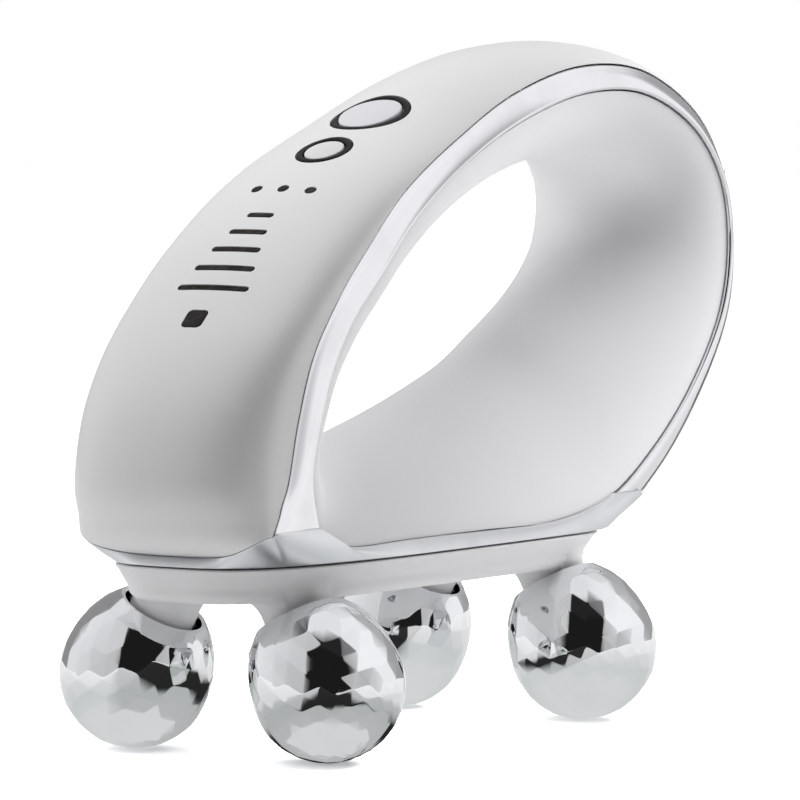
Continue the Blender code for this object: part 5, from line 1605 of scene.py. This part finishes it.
@dataclass
class Studio:
    """The white room: a pale floor, a bright surround with a dark card, and the camera."""

    place: tuple = (-1.00711, -0.66113, 0.13248)
    ahead: tuple = (0.83300112, 0.54987921, -0.06117175)
    sideways: tuple = (0.551, -0.8346, 0.0)
    lens: float = 301.76
    sensor: float = 36.0
    floor_reach: float = 3.0
    lamps: tuple = (((0.20, -0.08, 0.16), (0.03, 0.0, 0.06), 0.10, 0.38),
                    ((0.06, -0.10, 0.010), (-0.01, -0.02, 0.03), 0.06, 0.026),
                    ((-0.06, 0.02, 0.26), (-0.03, 0.0, 0.10), 0.10, 0.15))
    glows: tuple = (
        ((-90.0, -90.0), (0.90, 1.65, 2.25, 2.05, 1.15, 0.03, 0.0, 0.0, 0.0, 0.0, 0.0, 0.56)),
        ((10.0, 40.0), (0.35, 0.38, 0.70, 0.32, 0.04, 0.0, 0.0, 0.0, 0.0, 0.32, 0.98, 0.82)))
    glow_above: float = 0.80
    glow_peak: float = 3.0
    floor_glow: float = 0.17
    floor_white: float = 4.0
    floor_bounce: float = 0.85
    # Tones of the floor's glow by how steeply a ray meets it, darkest in between: a painted
    # reflection for bright metal, and the colour of the faint glow that diffuse rays see.
    painted_glow_tones: tuple = (
        (0.0, (0.73, 0.74, 0.74)), (0.30, (0.72, 0.73, 0.73)), (0.58, (0.66, 0.68, 0.67)),
        (0.80, (0.80, 0.80, 0.81)), (1.0, (1.0, 1.0, 1.0)))
    # Painted contact shadow from ambient occlusion: its reach, the occlusion level past which it
    # is gone, and its depth.
    painted_shadow_reach: float = 0.03
    painted_shadow_fades: float = 0.70
    painted_shadow_depth: float = 0.66
    # Two fan-shaped patches of painted shade on the floor in front of the body, seen only in
    # reflections: a shift aside, then for each how fast it widens, its outer and inner edges, the
    # slants between which it sets in, and its depth.
    painted_shade_shift: float = 0.012
    painted_shade_fans: tuple = ((0.6, (0.018, 0.006), (0.18, 0.26), 0.28),
                   (0.2, (0.014, 0.004), (0.53, 0.57), 0.69))
    walls: tuple = (
        ((-90.0, -90.0), ((-180, 0.42), (-168, 0.34), (-160, 0.30), (-130, 0.30), (-125, 0.86),
                          (-95, 0.80), (-60, 0.64), (-37, 0.58), (-33, 0.012), (28, 0.012),
                          (31, 0.50), (45, 0.62), (60, 0.50), (76, 0.68), (84, 0.95),
                          (114, 0.97), (121, 0.50), (128, 0.41), (158, 0.36), (180, 0.42))),
        ((20.0, 23.0), ((-180, 0.50), (-165, 0.30), (-158, 0.30), (-130, 0.30), (-122, 0.88),
                        (-60, 0.72), (-32, 0.66), (-28, 0.012), (34, 0.012), (38, 0.35),
                        (50, 0.70), (56, 1.0), (116, 1.0), (126, 0.55), (150, 0.45),
                        (180, 0.50))),
        ((46.0, 50.0), ((-180, 0.70), (-150, 0.50), (-120, 0.85), (-50, 0.66), (-24, 0.60),
                        (-20, 0.02), (30, 0.02), (36, 0.16), (50, 0.25), (58, 0.90),
                        (120, 0.95), (150, 0.70), (180, 0.70))),
    )

    def camera(self) -> None:
        """Set the camera at the photograph's place."""
        data = bpy.data.cameras.new("camera")
        data.sensor_width = self.sensor
        data.sensor_fit = "HORIZONTAL"
        data.lens = self.lens
        item = linked("camera", data)
        back = -Vector(self.ahead).normalized()
        right = Vector(self.sideways).normalized()
        up = back.cross(right)
        turn = Matrix((right, up, back)).transposed().to_4x4()
        item.matrix_world = Matrix.Translation(self.place) @ turn
        bpy.context.scene.camera = item

    def surround(self) -> None:
        """Light the room from behind and above; bright things see its walls and dark card."""
        world = bpy.data.worlds.new("studio")
        bpy.context.scene.world = world
        world.use_nodes = True
        sheet = Sheet(world.node_tree)
        shader = world.node_tree.nodes["Background"]
        way = sheet.node("ShaderNodeTexCoord").outputs["Generated"]
        near, aside = self.bearings(sheet, way)
        height = Value(sheet, sheet.node("ShaderNodeSeparateXYZ", None, {0: way}).outputs[2])
        turn = sheet.maths("ARCTAN2", aside, near) * (1.0 / math.tau) + 0.5
        rise = sheet.maths("ARCSINE", height) * (180.0 / math.pi)
        walls = self.banded(sheet, turn, rise, self.walls)
        walls = sheet.blend(sheet.ramp(rise, 66.0, 74.0), walls, (0.84, 0.84, 0.86, 1.0))
        shares = [(span, [(30 * index - 180, grey / self.glow_peak) for index, grey in enumerate(
            (*greys, greys[0]))]) for span, greys in self.glows]
        soft = Value(sheet, self.banded(sheet, turn, rise, shares)) * self.glow_peak
        above = sheet.ramp(rise, 55.0, 85.0)
        soft = soft * (1.0 - above) + above * self.glow_above
        rays = sheet.node("ShaderNodeLightPath").outputs
        seen = sheet.blend(rays["Is Glossy Ray"], soft.socket, walls)
        seen = sheet.blend(rays["Is Camera Ray"], seen, (1.0, 1.0, 1.0, 1.0))
        sheet.feed(shader.inputs["Color"], seen)
        shader.inputs["Strength"].default_value = 1.0

    def banded(self, sheet: Sheet, turn: Value, rise: Value,
               bands: "tuple | list") -> bpy.types.NodeSocket:
        """Return greys that vary round the room, in bands that follow each other upwards."""
        seen = None
        for (low, high), greys in bands:
            stops = [(bearing / 360.0 + 0.5, (grey * 0.985, grey * 0.985, grey))
                     for bearing, grey in greys]
            band = sheet.node("ShaderNodeValToRGB", {"stops": stops}, {0: turn}).outputs[0]
            seen = band if seen is None else sheet.blend(sheet.ramp(rise, low, high), seen, band)
        return seen

    def light(self) -> None:
        """Hang the soft lamps round the ring."""
        for place, aim, size, power in self.lamps:
            data = bpy.data.lights.new("lamp", "AREA")
            data.shape = "DISK"
            data.size = size
            data.energy = power
            item = linked("lamp", data)
            item.location = place
            item.rotation_euler = (Vector(aim) - Vector(place)).to_track_quat("-Z", "Y").to_euler()
            item.visible_camera = False
            item.visible_glossy = False

    def bearings(self, sheet: Sheet, way: bpy.types.NodeSocket) -> tuple[Value, Value]:
        """Return how far a place or direction lies towards the front of the room, and aside."""
        front = Vector((-self.ahead[0], -self.ahead[1], 0.0)).normalized()
        side = Vector(self.sideways).normalized()
        return (Value(sheet, sheet.vector("DOT_PRODUCT", way, tuple(front), 1)),
                Value(sheet, sheet.vector("DOT_PRODUCT", way, tuple(side), 1)))

    def floor(self) -> None:
        """Lay the pale floor, white where no shadow falls on it, with a painted contact shadow
        from ambient occlusion and a painted glow that bright metal reflects.
        """
        mesh = bmesh.new()
        bmesh.ops.create_grid(mesh, x_segments=2, y_segments=2, size=self.floor_reach)
        item = stored("floor", mesh)
        made = bpy.data.materials.new("pale_floor")
        made.use_nodes = True
        sheet = Sheet(made.node_tree)
        tree = made.node_tree
        tree.nodes.remove(tree.nodes["Principled BSDF"])
        rays = sheet.node("ShaderNodeLightPath").outputs
        camera_ray = Value(sheet, rays["Is Camera Ray"])
        glossy_ray = Value(sheet, rays["Is Glossy Ray"])
        diffuse_ray = Value(sheet, rays["Is Diffuse Ray"])
        # Painted contact shadow: ambient occlusion darkens the floor's colour for camera rays near
        # the rollers, on top of the real shadows of the lamps and the room.
        contact_occlusion = sheet.node("ShaderNodeAmbientOcclusion", {"samples": 16},
                             {"Distance": self.painted_shadow_reach})
        open_sky = sheet.ramp(Value(sheet, contact_occlusion.outputs["AO"]), 0.0, self.painted_shadow_fades)
        painted_contact_shadow = open_sky * self.painted_shadow_depth + (1.0 - self.painted_shadow_depth)
        pale = (camera_ray * painted_contact_shadow * self.floor_white
                + (1.0 - camera_ray) * (1.0 - glossy_ray) * self.floor_bounce)
        matt = sheet.node("ShaderNodeBsdfDiffuse", None, {"Color": pale})
        place = sheet.node("ShaderNodeTexCoord").outputs["Object"]
        near, aside = self.bearings(sheet, place)
        # Painted reflection shade: glossy rays see the floor glow in tones by slant, less two fans
        # of painted shade in front of the body, so bright metal shows painted dark patches where
        # it reflects the floor.
        slant = sheet.node("ShaderNodeLayerWeight", None, {"Blend": 0.5}).outputs["Facing"]
        low = Value(sheet, slant)
        spread = sheet.maths("ABSOLUTE", aside + self.painted_shade_shift)
        dim, dark = (sheet.ramp(spread - near * widening, *edge) * sheet.ramp(low, *slants) * depth
                     for widening, edge, slants, depth in self.painted_shade_fans)
        painted_reflection_shade = dim + dark
        tone = sheet.node("ShaderNodeValToRGB", {"stops": self.painted_glow_tones}, {0: slant})
        glow = sheet.node("ShaderNodeEmission", None, {
            "Color": tone.outputs[0],
            "Strength": glossy_ray * (1.0 - painted_reflection_shade) + diffuse_ray * self.floor_glow})
        both = sheet.node("ShaderNodeAddShader", None, {0: matt.outputs[0], 1: glow.outputs[0]})
        sheet.feed(tree.nodes["Material Output"].inputs["Surface"], both.outputs[0])
        item.data.materials.append(made)

    def build(self) -> None:
        """Set the whole room."""
        self.camera()
        self.surround()
        self.light()
        self.floor()


def clear_start() -> None:
    """Remove what the empty file held before the solids were loaded."""
    kept = {*frame["nodes"].values(), *frame["bodies"].values()}
    for item in list(bpy.data.objects):
        if item not in kept:
            bpy.data.objects.remove(item, do_unlink=True)


def dress_carried() -> None:
    """Give each solid that stays in sight its finish."""
    for name, item in frame["nodes"].items():
        for finish, words in CARRIED.items():
            if any(word in name for word in words):
                item.data.materials.clear()
                item.data.materials.append(finish.material())
                LOG.info("dressed %s with %s", name, finish.name)


def fix(piece: bpy.types.Object, body: str, slot: str, *nodes: str) -> None:
    """Let a piece ride on a body, in place of its solids."""
    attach(piece, body)
    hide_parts(*nodes)
    LOG.info("%s rides on %s", piece.name, body)


def main() -> None:
    """Build the looks of the massager in order."""
    clear_start()
    guides = Guides()
    Studio().build()
    housing = Housing(guides)
    skins = housing.build()
    panel = Panel(guides).build(skins["front_cover"])
    socket = Jack(guides).build(skins["rear_cover"])
    slots = {"front_cover": "white_shell", "rear_cover": "white_shell",
             "inner_liner": "satin_liner", "side_trim_left": "bright_chrome",
             "side_trim_right": "bright_chrome"}
    for node, piece in skins.items():
        fix(piece, "body", slots[node], node)
    for piece, body, slot, nodes in panel:
        fix(piece, body, slot, *nodes)
    fix(socket, "body", "dark_plastic", "charge_jack")
    base = Base(guides)
    fix(base.bezel(housing.feet), "body", "bright_chrome", "base_bezel")
    fix(base.pan(), "body", "white_shell", "base_pan")
    fix(Screws(base).build(), "body", "steel", *(f"pan_screw_{name}" for name in CORNERS))
    rollers = Rollers(base)
    tree = rollers.tree()
    for seed, name in enumerate(CORNERS, 1):
        fix(rollers.shell(tree, name, seed), f"roller_{name}", "bright_chrome",
            f"roller_{name}_shell")
    dress_carried()
    bpy.context.scene.view_settings.view_transform = "Standard"
    bpy.context.view_layer.update()


if __name__ == "__main__":
    logging.basicConfig(level=logging.INFO)
    main()
